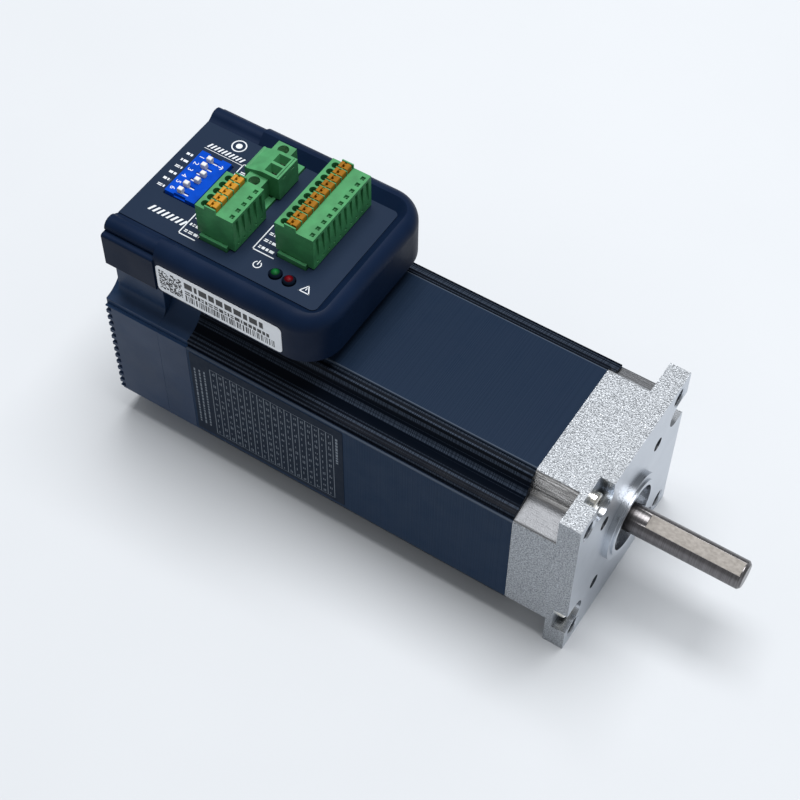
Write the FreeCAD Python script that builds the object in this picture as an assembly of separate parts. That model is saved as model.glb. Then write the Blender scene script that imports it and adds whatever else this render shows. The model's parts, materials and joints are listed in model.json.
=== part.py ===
import FreeCAD, Part
import math
import os
from FreeCAD import Vector

# Integrated servo motor, 57 mm frame, with its drive electronics in a box on top.
# Frame: +X is the output shaft, the origin is on the shaft axis in the mounting face,
# +Z points up to the drive box.  All lengths are in millimetres.

# ---- driving dimensions: motor -------------------------------------------------
FRAME = 57.0                  # square frame of the motor
HALF = FRAME / 2
HOLE_PITCH = 47.14            # corner holes, square pattern
HOLE_R = 2.6
HOLE_CHAMFER = 0.45
TAPPED_PCD = 40.0             # four tapped holes between the corner holes
TAPPED_R = 2.0
TAPPED_DEPTH = 6.0
FLANGE_T = 6.0
CAP_REAR = -18.2              # joint between the front cap and the stator
STATOR_REAR = -117.8          # joint between the stator and the rear bell
BELL_REAR = -127.3            # joint between the rear bell and the finned housing
BODY_REAR = -144.6            # tips of the cooling ribs
HOLLOW_LIP = 17.4             # the cap's hollow corners start here on each side
HOLLOW_LIP_R = 1.2            # rounded lip of a hollow
HOLLOW_FOOT = 19.5            # where the slightly drafted walls meet the inside round
HOLLOW_R = 3.4                # inside round of a hollow
BODY_SCALLOP_R = 8.6          # hollow corners of the stator and of the rear castings
SHELF = 0.9                   # small step beside each hollow corner
SHELF_EDGE = 17.9             # half width of the four side flats

PILOT_R = 12.6
PILOT_H = 1.6
LIP_R = 11.0
LIP_H = 2.2
LIP_BORE_R = 9.5

SHAFT_R = 4.0
SHAFT_TIP = 34.4
FLAT_START = 6.8
FLAT_END = 33.4
FLAT_DEPTH = 0.5
FLAT_TILT = 13.5              # degrees the shaft flat is turned from straight up towards -Y
SHAFT_TAIL = -131.0
RELIEF_R = 3.6                # relief groove in front of the bearing seat
RELIEF_REAR = -0.9
RELIEF_FRONT = -0.1
SEAM_TURN = 81.0              # turns the seam of the round faces away from the flat

BEARING_W = 7.0               # 608 size bearings: 8 x 22 x 7
BEARING_R = 11.0
FRONT_BEARING = -8.0          # rear face of the front bearing
REAR_BEARING = -125.6         # rear face of the rear bearing
BALL_R = 1.6
BALL_CIRCLE_R = 7.5
BALLS = 7

STATOR_BORE_R = 15.2
ROTOR_R = 14.6
CORE_R = 12.0
ROTOR_FRONT = -24.0
ROTOR_REAR = -112.0
SLOTS = 12
POLES = 8
COIL_IN_R = 16.6
COIL_OUT_R = 23.2
CAVITY_R = 24.6               # room for the end turns in the cap and in the bell
COIL_FRONT = -11.5
COIL_REAR = -123.6
INSULATOR_T = 1.0

TIE_OFFSET = 16.0             # tie screws sit in a pinwheel, one on each side of the square
TIE_RADIAL = 24.0
TIE_POCKET_W = 8.7
TIE_POCKET_DEPTH = 4.0
TIE_POCKET_REACH = 8.0
M3_R = 1.5
M3_CLEAR_R = 1.7
M3_HEAD_R = 2.75
M3_HEAD_H = 2.3

BELL_WALL = -125.2            # inside face of the bell's end wall
BELL_BOSS_R = 13.2
REAR_BORE_R = 6.5             # the shaft's tail passes through here to the encoder
TIE_TIP = -126.3              # tips of the tie screws in the bell
LEAD_YS = (-2.5, 0.0, 2.5)    # three phase leads, side by side
LEAD_Z = 20.0
LEAD_R = 0.8
LEAD_BEND_X = -133.0          # where the leads turn up into the drive box
GROOVE_COUNT = 13             # horizontal grooves between the cooling ribs
GROOVE_PITCH = 2.8
GROOVE_HALF_W = 0.75
GROOVE_TOP = 16.8
REAR_SEAT = BODY_REAR + 4.2   # seat of the rear housing screws

ENCODER_FRONT = -137.4
ENCODER_T = 1.4
ENCODER_R = 18.0
ENCODER_POSTS = [(0.0, -15.5), (13.4, 7.75), (-13.4, 7.75)]
M2_R = 0.9

# ---- driving dimensions: drive box ---------------------------------------------
BOX_REAR = -142.8
BOX_SPLIT = -126.5            # the rear stretch of the box has its own raised side panels
BOX_FRONT = -76.0
BOX_HALF_W = 26.5
PANEL_HALF_W = 27.0
BOX_UNDER = 34.2
BOX_CREST = 49.8
REAR_CREST = 48.8
DECK = 47.1                   # top face of the box under the printed overlay
OVERLAY_T = 0.3
OVERLAY_HALF_W = 19.4
OVERLAY_FRONT = -82.0
CORNER_R = 10.4
CREST_FILLET = 4.5
WALL = 2.3
CEILING = 45.2
NECK_HALF_W = 23.8
NECK_TOP = 31.2

BASE_TOP = 35.7
PAD_TOP = 37.3
BOARD_UNDER = 39.0
BOARD_TOP = 40.6
BOARD_REAR = -140.2
BOARD_FRONT = -79.6
BOARD_HALF_W = 23.3
HOUSING_POSTS = [(-137.0, 20.2), (-137.0, -20.2), (-85.6, 20.2), (-85.6, -20.2)]
POST_R = 2.6
M25_R = 1.25
M25_CLEAR_R = 1.5
M25_HEAD_R = 2.3
BASE_SCREW_X = -122.4         # two screws hold the box's base to the bell
BASE_SCREW_Y = 9.0
PLAN_R = 7.6                  # front corners of the base
MOSFETS = [(x, y) for x in (-120.0, -108.0) for y in (-14.0, 0.0, 14.0)]
CAPACITOR_X = -84.6
CAPACITOR_R = 3.1

# ---- driving dimensions: connectors, switch, lamps -----------------------------
PLUG_TOP = 58.4
HEADER_TOP = 48.6
SIGNAL_POLES = 10
COMMS_POLES = 5
PITCH = 2.5
PLUG_DEPTH = 11.5             # size of a push-in plug along X
SIGNAL_REAR = -101.0
SIGNAL_Y = 4.6                # centre of the ten-way plug
COMMS_REAR = -121.0
COMMS_Y = -7.55               # centre of the five-way plug
PLUG_END_WALL = 0.55
PULL_CLEAR = 0.15             # clearance between a plug and its header
HEADER_DEPTH = 8.6
HEADER_SETBACK = 0.9          # the header starts this far in front of the plug's rear face
HEADER_WALL = 0.9
HEADER_LAND = 0.9             # the header reaches this far past each end of its plug
HEADER_FLOOR = BOARD_TOP + 1.8
TONGUE_LOW = BOARD_TOP + 2.2  # lowest point of a plug inside its header
PIN_SET = 4.0                 # from the header's rear face to its pins
PIN_W = 0.6
WIRE_HOLE_R = 1.0
TEST_NOTCH = 1.2              # side of the square mouth of a test hole
TEST_NOTCH_SET = 1.9          # from the plug's front face to the mouth's rear edge
TEST_HOLE_R = 0.45
GROOVE_W = 1.15               # wedge-shaped grooves in the plug's front face, one for each pole
GROOVE_DEPTH = 1.0
GROOVE_HIGH = 57.5
GROOVE_LOW = 50.4
FOOT_HOLE = 0.6               # small openings below the grooves
LEVER_TRAVEL = 1.0
LEVER_LENGTH = 3.0            # along X
LEVER_WIDTH = 2.0
LEVER_SET = 3.05              # from the plug's rear face to the lever well
LEVER_LOW = 55.4
LEVER_TOP = 60.0
FIN_T = 0.3                   # thin walls between the levers
FIN_DROP = 0.25               # and how far their tops are below the levers

POWER_Y = 10.4                # centre of the two-way power plug
POWER_REAR = -120.8
POWER_FRONT = -110.1
POWER_PITCH = 3.81
POWER_EAR_HALF = 8.6
POWER_TOP = 55.4
POWER_BASE = 47.85            # underside of the plug, just above its header
POWER_HALF = 4.3              # half width of the wire block
POWER_HEADER_REAR = -119.8
POWER_HEADER_FRONT = -111.4
POWER_HEADER_TOP = 47.7
POWER_PIN_REAR = -116.0
POWER_PIN_W = 0.8
CLAMP_TOP = 52.6
CLAMP_SCREW_Z = 51.4
MOUTH_REAR = -115.1           # wire mouths of the power plug: funnels that open upwards
MOUTH_FRONT = -111.4
MOUTH_HALF_W = 1.5
MOUTH_TAPER = 0.6
LATCH_Z = 54.0                # small latch openings in the power plug's front face
LATCH_W = 1.4
LATCH_H = 0.5
EAR_X = -116.2
EAR_PITCH = 13.0
EAR_HOLE_R = 1.55
EAR_TOP = 53.5
EAR_DEPTH = 4.0               # counterbore for the head of a flange screw

DIP_REAR = -136.9
DIP_FRONT = -127.4
DIP_Y = 0.8
DIP_LENGTH = 16.6
DIP_TOP = 48.5
DIP_PITCH = 2.54
DIP_WAYS = 6
DIP_TRAVEL = 1.6
DIP_KNOB = 1.5
DIP_SLOT_REAR = -133.55
DIP_SLOT_DEPTH = 0.5
DIP_SLOT_HALF_W = 0.36
DIP_KNOB_HALF_W = 0.65
DIP_KNOB_RISE = 1.5
DIP_SIDE_NOTCH = 0.5
DIP_ON = (3, 4)               # ways that are pushed to the front end of their slots

LED_R = 1.6
LED_Y = -14.6
LED_GREEN_X = -97.0
LED_RED_X = -92.9
LED_DOME_R = 1.75

LABEL_T = 0.12


# ---- helpers -------------------------------------------------------------------
def block(x0, x1, y0, y1, z0, z1):
    return Part.makeBox(x1 - x0, y1 - y0, z1 - z0, Vector(x0, y0, z0))


def rod(radius, x0, x1, y=0.0, z=0.0):
    """Cylinder along X."""
    return Part.makeCylinder(radius, x1 - x0, Vector(x0, y, z), Vector(1, 0, 0))


def post(radius, z0, z1, x, y):
    """Cylinder along Z."""
    return Part.makeCylinder(radius, z1 - z0, Vector(x, y, z0), Vector(0, 0, 1))


def sleeve(r_out, r_in, x0, x1, y=0.0, z=0.0):
    return rod(r_out, x0, x1, y, z).cut(rod(r_in, x0 - 1, x1 + 1, y, z))


def joined(shapes):
    if len(shapes) == 1:
        return shapes[0]
    return shapes[0].multiFuse(shapes[1:]).removeSplitter()


def group(shapes):
    return Part.makeCompound(shapes)


def quarter_turns(shape):
    """The shape and its copies turned by 90, 180 and 270 degrees about the shaft axis."""
    copies = []
    for turn in range(4):
        copy = shape.copy()
        copy.rotate(Vector(0, 0, 0), Vector(1, 0, 0), 90 * turn)
        copies.append(copy)
    return copies


def round_plan(x0, x1, half_w, radius, z, rear_radius=0.0):
    """Closed wire in a level plane: a rectangle whose two front corners have a radius."""
    r, q = radius, rear_radius
    bend = 1 - math.sqrt(0.5)
    edges = [Part.LineSegment(Vector(x0 + q, -half_w, z), Vector(x1 - r, -half_w, z))]
    edges.append(Part.Arc(Vector(x1 - r, -half_w, z),
                          Vector(x1 - r * bend, -half_w + r * bend, z),
                          Vector(x1, -half_w + r, z)))
    edges.append(Part.LineSegment(Vector(x1, -half_w + r, z), Vector(x1, half_w - r, z)))
    edges.append(Part.Arc(Vector(x1, half_w - r, z),
                          Vector(x1 - r * bend, half_w - r * bend, z),
                          Vector(x1 - r, half_w, z)))
    edges.append(Part.LineSegment(Vector(x1 - r, half_w, z), Vector(x0 + q, half_w, z)))
    if q > 0:
        edges.append(Part.Arc(Vector(x0 + q, half_w, z),
                              Vector(x0 + q * bend, half_w - q * bend, z),
                              Vector(x0, half_w - q, z)))
    edges.append(Part.LineSegment(Vector(x0, half_w - q, z), Vector(x0, -half_w + q, z)))
    if q > 0:
        edges.append(Part.Arc(Vector(x0, -half_w + q, z),
                              Vector(x0 + q * bend, -half_w + q * bend, z),
                              Vector(x0 + q, -half_w, z)))
    return Part.Wire([edge.toShape() for edge in edges])


def round_slab(x0, x1, half_w, radius, z0, z1, rear_radius=0.0):
    face = Part.Face(round_plan(x0, x1, half_w, radius, z0, rear_radius))
    return face.extrude(Vector(0, 0, z1 - z0))


def section(points, x0, x1):
    """Prism along X over a closed outline of (y, z) points; a third value 'arc' makes the
    point the middle of an arc to the point after it."""
    edges = []
    i = 0
    count = len(points)
    while i < count:
        here = Vector(x0, points[i][0], points[i][1])
        after = points[(i + 1) % count]
        if len(after) == 3:
            end = points[(i + 2) % count]
            edges.append(Part.Arc(here, Vector(x0, after[0], after[1]),
                                  Vector(x0, end[0], end[1])).toShape())
            i += 2
            continue
        there = Vector(x0, after[0], after[1])
        if here.distanceToPoint(there) > 1e-6:
            edges.append(Part.makeLine(here, there))
        i += 1
    return Part.Face(Part.Wire(edges)).extrude(Vector(x1 - x0, 0, 0))


def mirrored_section(half_outline, x0, x1):
    """The same for an outline given on the +Y side only, from its lower to its upper
    crossing of the middle plane."""
    left = [(-p[0],) + tuple(p[1:]) for p in reversed(half_outline)]
    return section(list(half_outline) + left, x0, x1)


def scalloped_body(x0, x1):
    """Square bar with hollow corners; a shelf steps the flats down beside each hollow."""
    far = HALF + 1
    near = HALF - SHELF
    tools = []
    for sy in (-1, 1):
        for sz in (-1, 1):
            tools.append(rod(BODY_SCALLOP_R, x0 - 1, x1 + 1, sy * HALF, sz * HALF))
            ys = sorted((sy * SHELF_EDGE, sy * far))
            zs = sorted((sz * near, sz * far))
            tools.append(block(x0 - 1, x1 + 1, ys[0], ys[1], zs[0], zs[1]))
            ys = sorted((sy * near, sy * far))
            zs = sorted((sz * SHELF_EDGE, sz * far))
            tools.append(block(x0 - 1, x1 + 1, ys[0], ys[1], zs[0], zs[1]))
    return block(x0, x1, -HALF, HALF, -HALF, HALF).cut(tools)


def corner_hollow(x0, x1):
    """Recess in the +Y +Z corner of the cap: two drafted walls, an inside round, rounded lips."""
    bend = math.sqrt(0.5)
    wall = HOLLOW_LIP + HOLLOW_LIP_R
    start = HALF - HOLLOW_LIP_R
    lip_y, lip_z = HOLLOW_LIP + HOLLOW_LIP_R * bend, start + HOLLOW_LIP_R * bend
    turn = HOLLOW_FOOT + HOLLOW_R
    middle = turn - HOLLOW_R * bend
    far = HALF + 2
    outline = [(HOLLOW_LIP, HALF), (lip_y, lip_z, "arc"), (wall, start),
               (HOLLOW_FOOT, turn), (middle, middle, "arc"), (turn, HOLLOW_FOOT),
               (start, wall), (lip_z, lip_y, "arc"), (HALF, HOLLOW_LIP),
               (far, HOLLOW_LIP), (far, far), (HOLLOW_LIP, far)]
    return section(outline, x0, x1)


def slot_bar(x0, x1, shrink):
    """One winding slot as a solid, pointing up; its width grows outwards."""
    low, high = COIL_IN_R - 0.2 + shrink, COIL_OUT_R + 0.1 - shrink
    narrow, wide = 1.6 - shrink, 3.2 - shrink
    corners = [Vector(x0, -narrow, low), Vector(x0, narrow, low),
               Vector(x0, wide, high), Vector(x0, -wide, high), Vector(x0, -narrow, low)]
    return Part.Face(Part.makePolygon(corners)).extrude(Vector(x1 - x0, 0, 0))


def around(shape, count):
    copies = []
    for k in range(count):
        copy = shape.copy()
        copy.rotate(Vector(0, 0, 0), Vector(1, 0, 0), 360.0 * k / count)
        copies.append(copy)
    return copies


def tie_places():
    return [(-TIE_OFFSET, TIE_RADIAL), (-TIE_RADIAL, -TIE_OFFSET),
            (TIE_OFFSET, -TIE_RADIAL), (TIE_RADIAL, TIE_OFFSET)]


def rear_screw_places():
    return [(TIE_OFFSET, TIE_RADIAL), (TIE_RADIAL, -TIE_OFFSET),
            (-TIE_OFFSET, -TIE_RADIAL), (-TIE_RADIAL, TIE_OFFSET)]


def pole_places(centre, count, pitch):
    return [centre + pitch * (k - (count - 1) / 2) for k in range(count)]


# ---- motor ---------------------------------------------------------------------
def front_flange():
    body = joined([block(CAP_REAR, 0, -HALF, HALF, -HALF, HALF),
                   rod(PILOT_R, -1, PILOT_H),
                   rod(LIP_R, -1, LIP_H)])
    tools = [rod(LIP_BORE_R, -2, LIP_H + 1),
             rod(BEARING_R, -10, FRONT_BEARING + BEARING_W),
             rod(CAVITY_R, CAP_REAR - 1, -9.5)]
    tools += quarter_turns(corner_hollow(CAP_REAR - 1, -FLANGE_T))
    for sy in (-1, 1):
        for sz in (-1, 1):
            half_pitch = HOLE_PITCH / 2
            y, z = sy * half_pitch, sz * half_pitch
            tools.append(rod(HOLE_R, -FLANGE_T - 1, 1, y, z))
            tools.append(Part.makeCone(HOLE_R + HOLE_CHAMFER, HOLE_R, HOLE_CHAMFER,
                                       Vector(0, y, z), Vector(-1, 0, 0)))
            across = TAPPED_PCD / 2 * math.sqrt(0.5)
            tools.append(rod(TAPPED_R, -TAPPED_DEPTH, 1, sy * across, sz * across))
    half_w = TIE_POCKET_W / 2
    inner = HALF - TIE_POCKET_REACH + half_w
    pocket = joined([rod(half_w, -TIE_POCKET_DEPTH, 1, -TIE_OFFSET, inner),
                     block(-TIE_POCKET_DEPTH, 1, -TIE_OFFSET - half_w, -TIE_OFFSET + half_w,
                           inner, HALF + 1)])
    tools += quarter_turns(pocket)
    for y, z in tie_places():
        tools.append(rod(M3_CLEAR_R, CAP_REAR - 1, 0, y, z))
    return body.cut(tools)


def stator_core():
    body = scalloped_body(STATOR_REAR, CAP_REAR)
    tools = [rod(STATOR_BORE_R, STATOR_REAR - 1, CAP_REAR + 1)]
    mouth = block(STATOR_REAR - 1, CAP_REAR + 1, -0.8, 0.8, STATOR_BORE_R - 1, COIL_IN_R)
    slot = joined([slot_bar(STATOR_REAR - 1, CAP_REAR + 1, 0), mouth])
    tools += around(slot, SLOTS)
    for y, z in tie_places():
        tools.append(rod(M3_CLEAR_R, STATOR_REAR - 1, CAP_REAR + 1, y, z))
    return body.cut(tools)


def coil_bobbins():
    rings = []
    for x0 in (CAP_REAR, STATOR_REAR - INSULATOR_T):
        ring = sleeve(COIL_OUT_R + 1.0, STATOR_BORE_R + 0.4, x0, x0 + INSULATOR_T)
        slots = around(slot_bar(x0 - 1, x0 + INSULATOR_T + 1, 0), SLOTS)
        rings.append(ring.cut(slots))
    return group(rings)


def stator_coils():
    front = sleeve(COIL_OUT_R, COIL_IN_R, CAP_REAR + INSULATOR_T, COIL_FRONT)
    rear = sleeve(COIL_OUT_R, COIL_IN_R, COIL_REAR, STATOR_REAR - INSULATOR_T)
    bars = around(slot_bar(STATOR_REAR - 3, CAP_REAR + 3, 0.15), SLOTS)
    return joined([front, rear] + bars)


def rear_bell():
    body = scalloped_body(BELL_REAR, STATOR_REAR)
    tools = [rod(CAVITY_R, BELL_WALL, STATOR_REAR + 1)]
    boss = rod(BELL_BOSS_R, BELL_WALL - 0.5, REAR_BEARING + BEARING_W)
    body = joined([body.cut(tools), boss])
    tools = [rod(BEARING_R, REAR_BEARING - 0.7, STATOR_REAR + 1),
             rod(REAR_BORE_R, BELL_REAR - 1, STATOR_REAR)]
    for y, z in tie_places():
        tools.append(rod(M3_R, TIE_TIP, STATOR_REAR + 1, y, z))
    for y, z in rear_screw_places():
        tools.append(rod(M3_R, BELL_REAR - 1, -120.0, y, z))
    for y in LEAD_YS:
        tools.append(rod(LEAD_R + 0.1, BELL_REAR - 1, BELL_WALL + 1, y, LEAD_Z))
    for y in (-BASE_SCREW_Y, BASE_SCREW_Y):
        tools.append(post(M3_R, 24.6, HALF + 1, BASE_SCREW_X, y))
    standoffs = []
    for y, z in ENCODER_POSTS:
        standoffs.append(rod(2.4, ENCODER_FRONT, BELL_REAR + 0.5, y, z))
    body = joined([body.cut(tools)] + standoffs)
    holes = [rod(M2_R, ENCODER_FRONT - 1, ENCODER_FRONT + 5, y, z) for y, z in ENCODER_POSTS]
    return body.cut(holes)


def rear_housing():
    lower = scalloped_body(BODY_REAR, BELL_REAR)
    flank = [(0.0, 18.0), (NECK_HALF_W + 1.6, 18.0), (NECK_HALF_W + 1.4, 20.4),
             (NECK_HALF_W + 0.4, 21.7, "arc"), (NECK_HALF_W, 23.6),
             (NECK_HALF_W, NECK_TOP), (0.0, NECK_TOP)]
    neck = mirrored_section(flank, BOX_REAR, BELL_REAR)
    body = joined([lower, neck])
    tools = [rod(23.0, BOX_REAR + 1.8, BELL_REAR + 1)]
    tools.append(block(-138.0, BELL_REAR - 1.6, -8.0, 8.0, 15.0, NECK_TOP + 1))
    for y, z in rear_screw_places():
        tools.append(rod(M3_CLEAR_R, BODY_REAR - 1, BELL_REAR + 1, y, z))
        tools.append(rod(M3_HEAD_R + 0.2, BODY_REAR - 1, REAR_SEAT, y, z))
    for k in range(GROOVE_COUNT):
        z = GROOVE_TOP - GROOVE_PITCH * k
        tools.append(block(BODY_REAR - 1, BOX_REAR, -HALF - 1, HALF + 1,
                           z - GROOVE_HALF_W, z + GROOVE_HALF_W))
    return body.cut(tools)


def motor_shaft():
    shaft = joined([rod(SHAFT_R, SHAFT_TAIL, SHAFT_TIP),
                    rod(5.2, ROTOR_FRONT, FRONT_BEARING - 0.1),
                    rod(5.2, REAR_BEARING + BEARING_W + 0.1, ROTOR_REAR)])
    tip = [edge for edge in shaft.Edges if abs(edge.CenterOfMass.x - SHAFT_TIP) < 0.01]
    shaft = shaft.makeChamfer(0.7, tip)
    shaft = shaft.cut(sleeve(SHAFT_R + 1, RELIEF_R, RELIEF_REAR, RELIEF_FRONT))
    shaft.rotate(Vector(0, 0, 0), Vector(1, 0, 0), SEAM_TURN)
    flat = block(FLAT_START, FLAT_END, -SHAFT_R, SHAFT_R, SHAFT_R - FLAT_DEPTH, SHAFT_R + 1)
    flat.rotate(Vector(0, 0, 0), Vector(1, 0, 0), FLAT_TILT)
    return shaft.cut(flat)


def rotor_core():
    return sleeve(CORE_R, SHAFT_R, ROTOR_REAR, ROTOR_FRONT).cut(
        around(rod(1.6, ROTOR_REAR - 1, ROTOR_FRONT + 1, 0, 8.2), 6))


def rotor_magnets():
    ring = sleeve(ROTOR_R, CORE_R, ROTOR_REAR, ROTOR_FRONT)
    gap = block(ROTOR_REAR - 1, ROTOR_FRONT + 1, -0.5, 0.5, CORE_R - 2, ROTOR_R + 2)
    cut_up = ring.cut(around(gap, POLES))
    return group(cut_up.Solids)


def bearing_races(r_out, r_in, with_shields):
    races = []
    for x0 in (FRONT_BEARING, REAR_BEARING):
        race = sleeve(r_out, r_in, x0, x0 + BEARING_W)
        if with_shields:
            shields = [sleeve(r_in + 0.1, 6.1, x0 + 0.1, x0 + 0.5),
                       sleeve(r_in + 0.1, 6.1, x0 + BEARING_W - 0.5, x0 + BEARING_W - 0.1)]
            race = joined([race] + shields)
        races.append(race)
    return group(races)


def bearing_balls():
    balls = []
    for x0 in (FRONT_BEARING, REAR_BEARING):
        ball = Part.makeSphere(BALL_R, Vector(x0 + BEARING_W / 2, 0, BALL_CIRCLE_R))
        balls += around(ball, BALLS)
    return group(balls)


def wave_washer():
    x0 = REAR_BEARING - 0.7
    ring = sleeve(10.4, 8.6, x0 + 0.2, x0 + 0.5)
    pads = []
    for k, x in enumerate((x0, x0 + 0.45) * 3):
        pad = block(x, x + 0.25, -1.2, 1.2, 8.7, 10.2)
        pad.rotate(Vector(0, 0, 0), Vector(1, 0, 0), 60 * k)
        pads.append(pad)
    return joined([ring] + pads)


def pan_screw(length):
    """Screw along -X whose head sits on the plane x = 0, with a cross recess."""
    head = rod(M3_HEAD_R, 0, M3_HEAD_H)
    rim = [edge for edge in head.Edges if edge.CenterOfMass.x > M3_HEAD_H - 0.01]
    head = head.makeFillet(0.9, rim)
    cross = [block(M3_HEAD_H - 1.2, M3_HEAD_H + 1, -1.5, 1.5, -0.35, 0.35),
             block(M3_HEAD_H - 1.2, M3_HEAD_H + 1, -0.35, 0.35, -1.5, 1.5)]
    return joined([head.cut(cross), rod(M3_R, -length, 0.2)])


def tie_screws():
    screws = []
    for y, z in tie_places():
        screw = pan_screw(-TIE_TIP - TIE_POCKET_DEPTH - 0.2)
        screw.translate(Vector(-TIE_POCKET_DEPTH, y, z))
        screws.append(screw)
    return group(screws)


def encoder_magnet():
    hub = rod(5.0, -132.6, -129.2).cut(rod(SHAFT_R, SHAFT_TAIL, -128))
    return joined([hub, rod(4.0, -135.4, -132.6)])


def encoder_board():
    disc = rod(ENCODER_R, ENCODER_FRONT - ENCODER_T, ENCODER_FRONT)
    holes = [rod(1.1, -142, -135, y, z) for y, z in ENCODER_POSTS]
    window = block(-142, -135, -8.0, 8.0, 14.0, 19.0)
    return disc.cut(holes + [window])


def encoder_screws():
    screws = []
    for y, z in ENCODER_POSTS:
        back = ENCODER_FRONT - ENCODER_T
        screws.append(joined([rod(M2_R, back, ENCODER_FRONT + 4.8, y, z),
                              rod(2 * M2_R, back - 1.4, back, y, z)]))
    return screws


def motor_leads():
    """Three phase leads: out of the end turns, through the bell and up to the drive board."""
    leads = []
    start, radius = BELL_WALL + 0.3, 3.0
    for y in LEAD_YS:
        corner = Vector(LEAD_BEND_X, y, LEAD_Z)
        run = Part.makeLine(Vector(start, y, LEAD_Z), corner + Vector(radius, 0, 0))
        tilt = radius * (1 - math.sqrt(0.5))
        arc = Part.Arc(corner + Vector(radius, 0, 0), corner + Vector(tilt, 0, tilt),
                       corner + Vector(0, 0, radius)).toShape()
        rise = Part.makeLine(corner + Vector(0, 0, radius), Vector(LEAD_BEND_X, y, BOARD_UNDER))
        path = Part.Wire([run, arc, rise])
        ring = Part.Wire([Part.makeCircle(LEAD_R, Vector(start, y, LEAD_Z), Vector(-1, 0, 0))])
        leads.append(path.makePipeShell([ring], True, False))
    return group(leads)


# ---- drive box -----------------------------------------------------------------
def drive_base():
    front = BOX_FRONT - WALL - 0.3
    sill = round_slab(BOX_REAR, front, NECK_HALF_W, PLAN_R, NECK_TOP, BOX_UNDER, 1.0)
    floor = round_slab(BOX_REAR + WALL + 0.2, front, NECK_HALF_W, PLAN_R,
                       BOX_UNDER - 1, BASE_TOP, 1.0)
    pedestal = block(-126.0, -86.0, -15.0, 15.0, HALF, NECK_TOP)
    bosses = [post(POST_R, BASE_TOP, BOARD_UNDER, x, y) for x, y in HOUSING_POSTS]
    body = joined([sill, floor, pedestal] + bosses)
    tools = [block(-137.4, -129.4, -7.0, 7.0, NECK_TOP - 4, BASE_TOP + 1)]
    for x, y in HOUSING_POSTS:
        tools.append(post(M25_CLEAR_R, NECK_TOP - 1, BOARD_UNDER + 1, x, y))
        tools.append(post(M25_HEAD_R + 0.2, NECK_TOP - 1, NECK_TOP + 2.0, x, y))
    for y in (-BASE_SCREW_Y, BASE_SCREW_Y):
        tools.append(post(M3_CLEAR_R, HALF - 1, BASE_TOP + 1, BASE_SCREW_X, y))
        tools.append(post(M3_HEAD_R + 0.2, BASE_TOP - 2.6, BASE_TOP + 1, BASE_SCREW_X, y))
    return body.cut(tools)


def connector_windows(grow):
    """Straight shafts through the deck for the headers and the switch."""
    low, high = CEILING - 2, DECK + 3
    windows = []
    for rear, centre, half in header_plans():
        windows.append(block(rear - grow, rear + HEADER_DEPTH + grow,
                             centre - half - grow, centre + half + grow, low, high))
    windows.append(block(POWER_HEADER_REAR - grow, POWER_HEADER_FRONT + grow,
                         POWER_Y - POWER_EAR_HALF - 0.4 - grow,
                         POWER_Y + POWER_EAR_HALF + 0.4 + grow, low, high))
    windows.append(block(DIP_REAR - grow, DIP_FRONT + grow, DIP_Y - DIP_LENGTH / 2 - grow,
                         DIP_Y + DIP_LENGTH / 2 + grow, low, high))
    for x in (LED_GREEN_X, LED_RED_X):
        windows.append(post(LED_R + grow, low, high, x, LED_Y))
    return windows


def header_plans():
    """Rear edge, centre and half length of the two push-in headers."""
    plans = []
    for rear, centre, poles in ((SIGNAL_REAR, SIGNAL_Y, SIGNAL_POLES),
                                (COMMS_REAR, COMMS_Y, COMMS_POLES)):
        half = plug_half(poles) + HEADER_LAND
        plans.append((rear + HEADER_SETBACK, centre, half))
    return plans


def plug_half(poles):
    return poles * PITCH / 2 + PLUG_END_WALL


def box_front_part():
    slab = round_slab(BOX_SPLIT, BOX_FRONT, BOX_HALF_W, CORNER_R, BOX_UNDER, BOX_CREST)
    top_edges = []
    for edge in slab.Edges:
        box = edge.BoundBox
        if box.ZMin > BOX_CREST - 0.01 and box.XMax > BOX_SPLIT + 0.01:
            top_edges.append(edge)
    slab = slab.makeFillet(CREST_FILLET, top_edges)
    low = round_plan(BOX_SPLIT - 1, OVERLAY_FRONT + 0.1, OVERLAY_HALF_W + 0.1, 1.7, DECK)
    high = round_plan(BOX_SPLIT - 1, OVERLAY_FRONT + 2.9, OVERLAY_HALF_W + 2.9, 4.5,
                      BOX_CREST + 0.01)
    recess = Part.makeLoft([low, high], True)
    return slab.cut(recess)


def box_rear_part():
    side = PANEL_HALF_W
    outline = [(0.0, BOX_UNDER), (side - 0.7, BOX_UNDER), (side - 0.2, BOX_UNDER + 0.2, "arc"),
               (side, BOX_UNDER + 0.7), (side, 44.9), (side - 0.15, 45.5, "arc"),
               (side - 0.7, 45.8), (side - 1.9, 45.8), (side - 1.7, 46.4),
               (side - 2.5, 48.2, "arc"), (side - 4.2, REAR_CREST),
               (side - 5.3, 48.6, "arc"), (side - 6.2, 47.9), (OVERLAY_HALF_W + 0.1, DECK),
               (0.0, DECK)]
    return mirrored_section(outline, BOX_REAR, BOX_SPLIT)


def drive_housing():
    shell = joined([box_front_part(), box_rear_part()])
    inner = round_slab(BOX_REAR + WALL, BOX_FRONT - WALL, BOX_HALF_W - WALL, CORNER_R - WALL,
                       BOX_UNDER - 1, CEILING, 1.0)
    shell = shell.cut([inner] + connector_windows(0.2))
    posts = [post(POST_R, BOARD_TOP, CEILING + 0.5, x, y) for x, y in HOUSING_POSTS]
    shell = joined([shell] + posts)
    return shell.cut([post(M25_R, BOARD_TOP - 1, 45.0, x, y) for x, y in HOUSING_POSTS])


def top_overlay():
    sheet = round_slab(BOX_REAR + 0.15, OVERLAY_FRONT, OVERLAY_HALF_W, 1.6,
                       DECK, DECK + OVERLAY_T)
    return sheet.cut(connector_windows(0.35))


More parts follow.
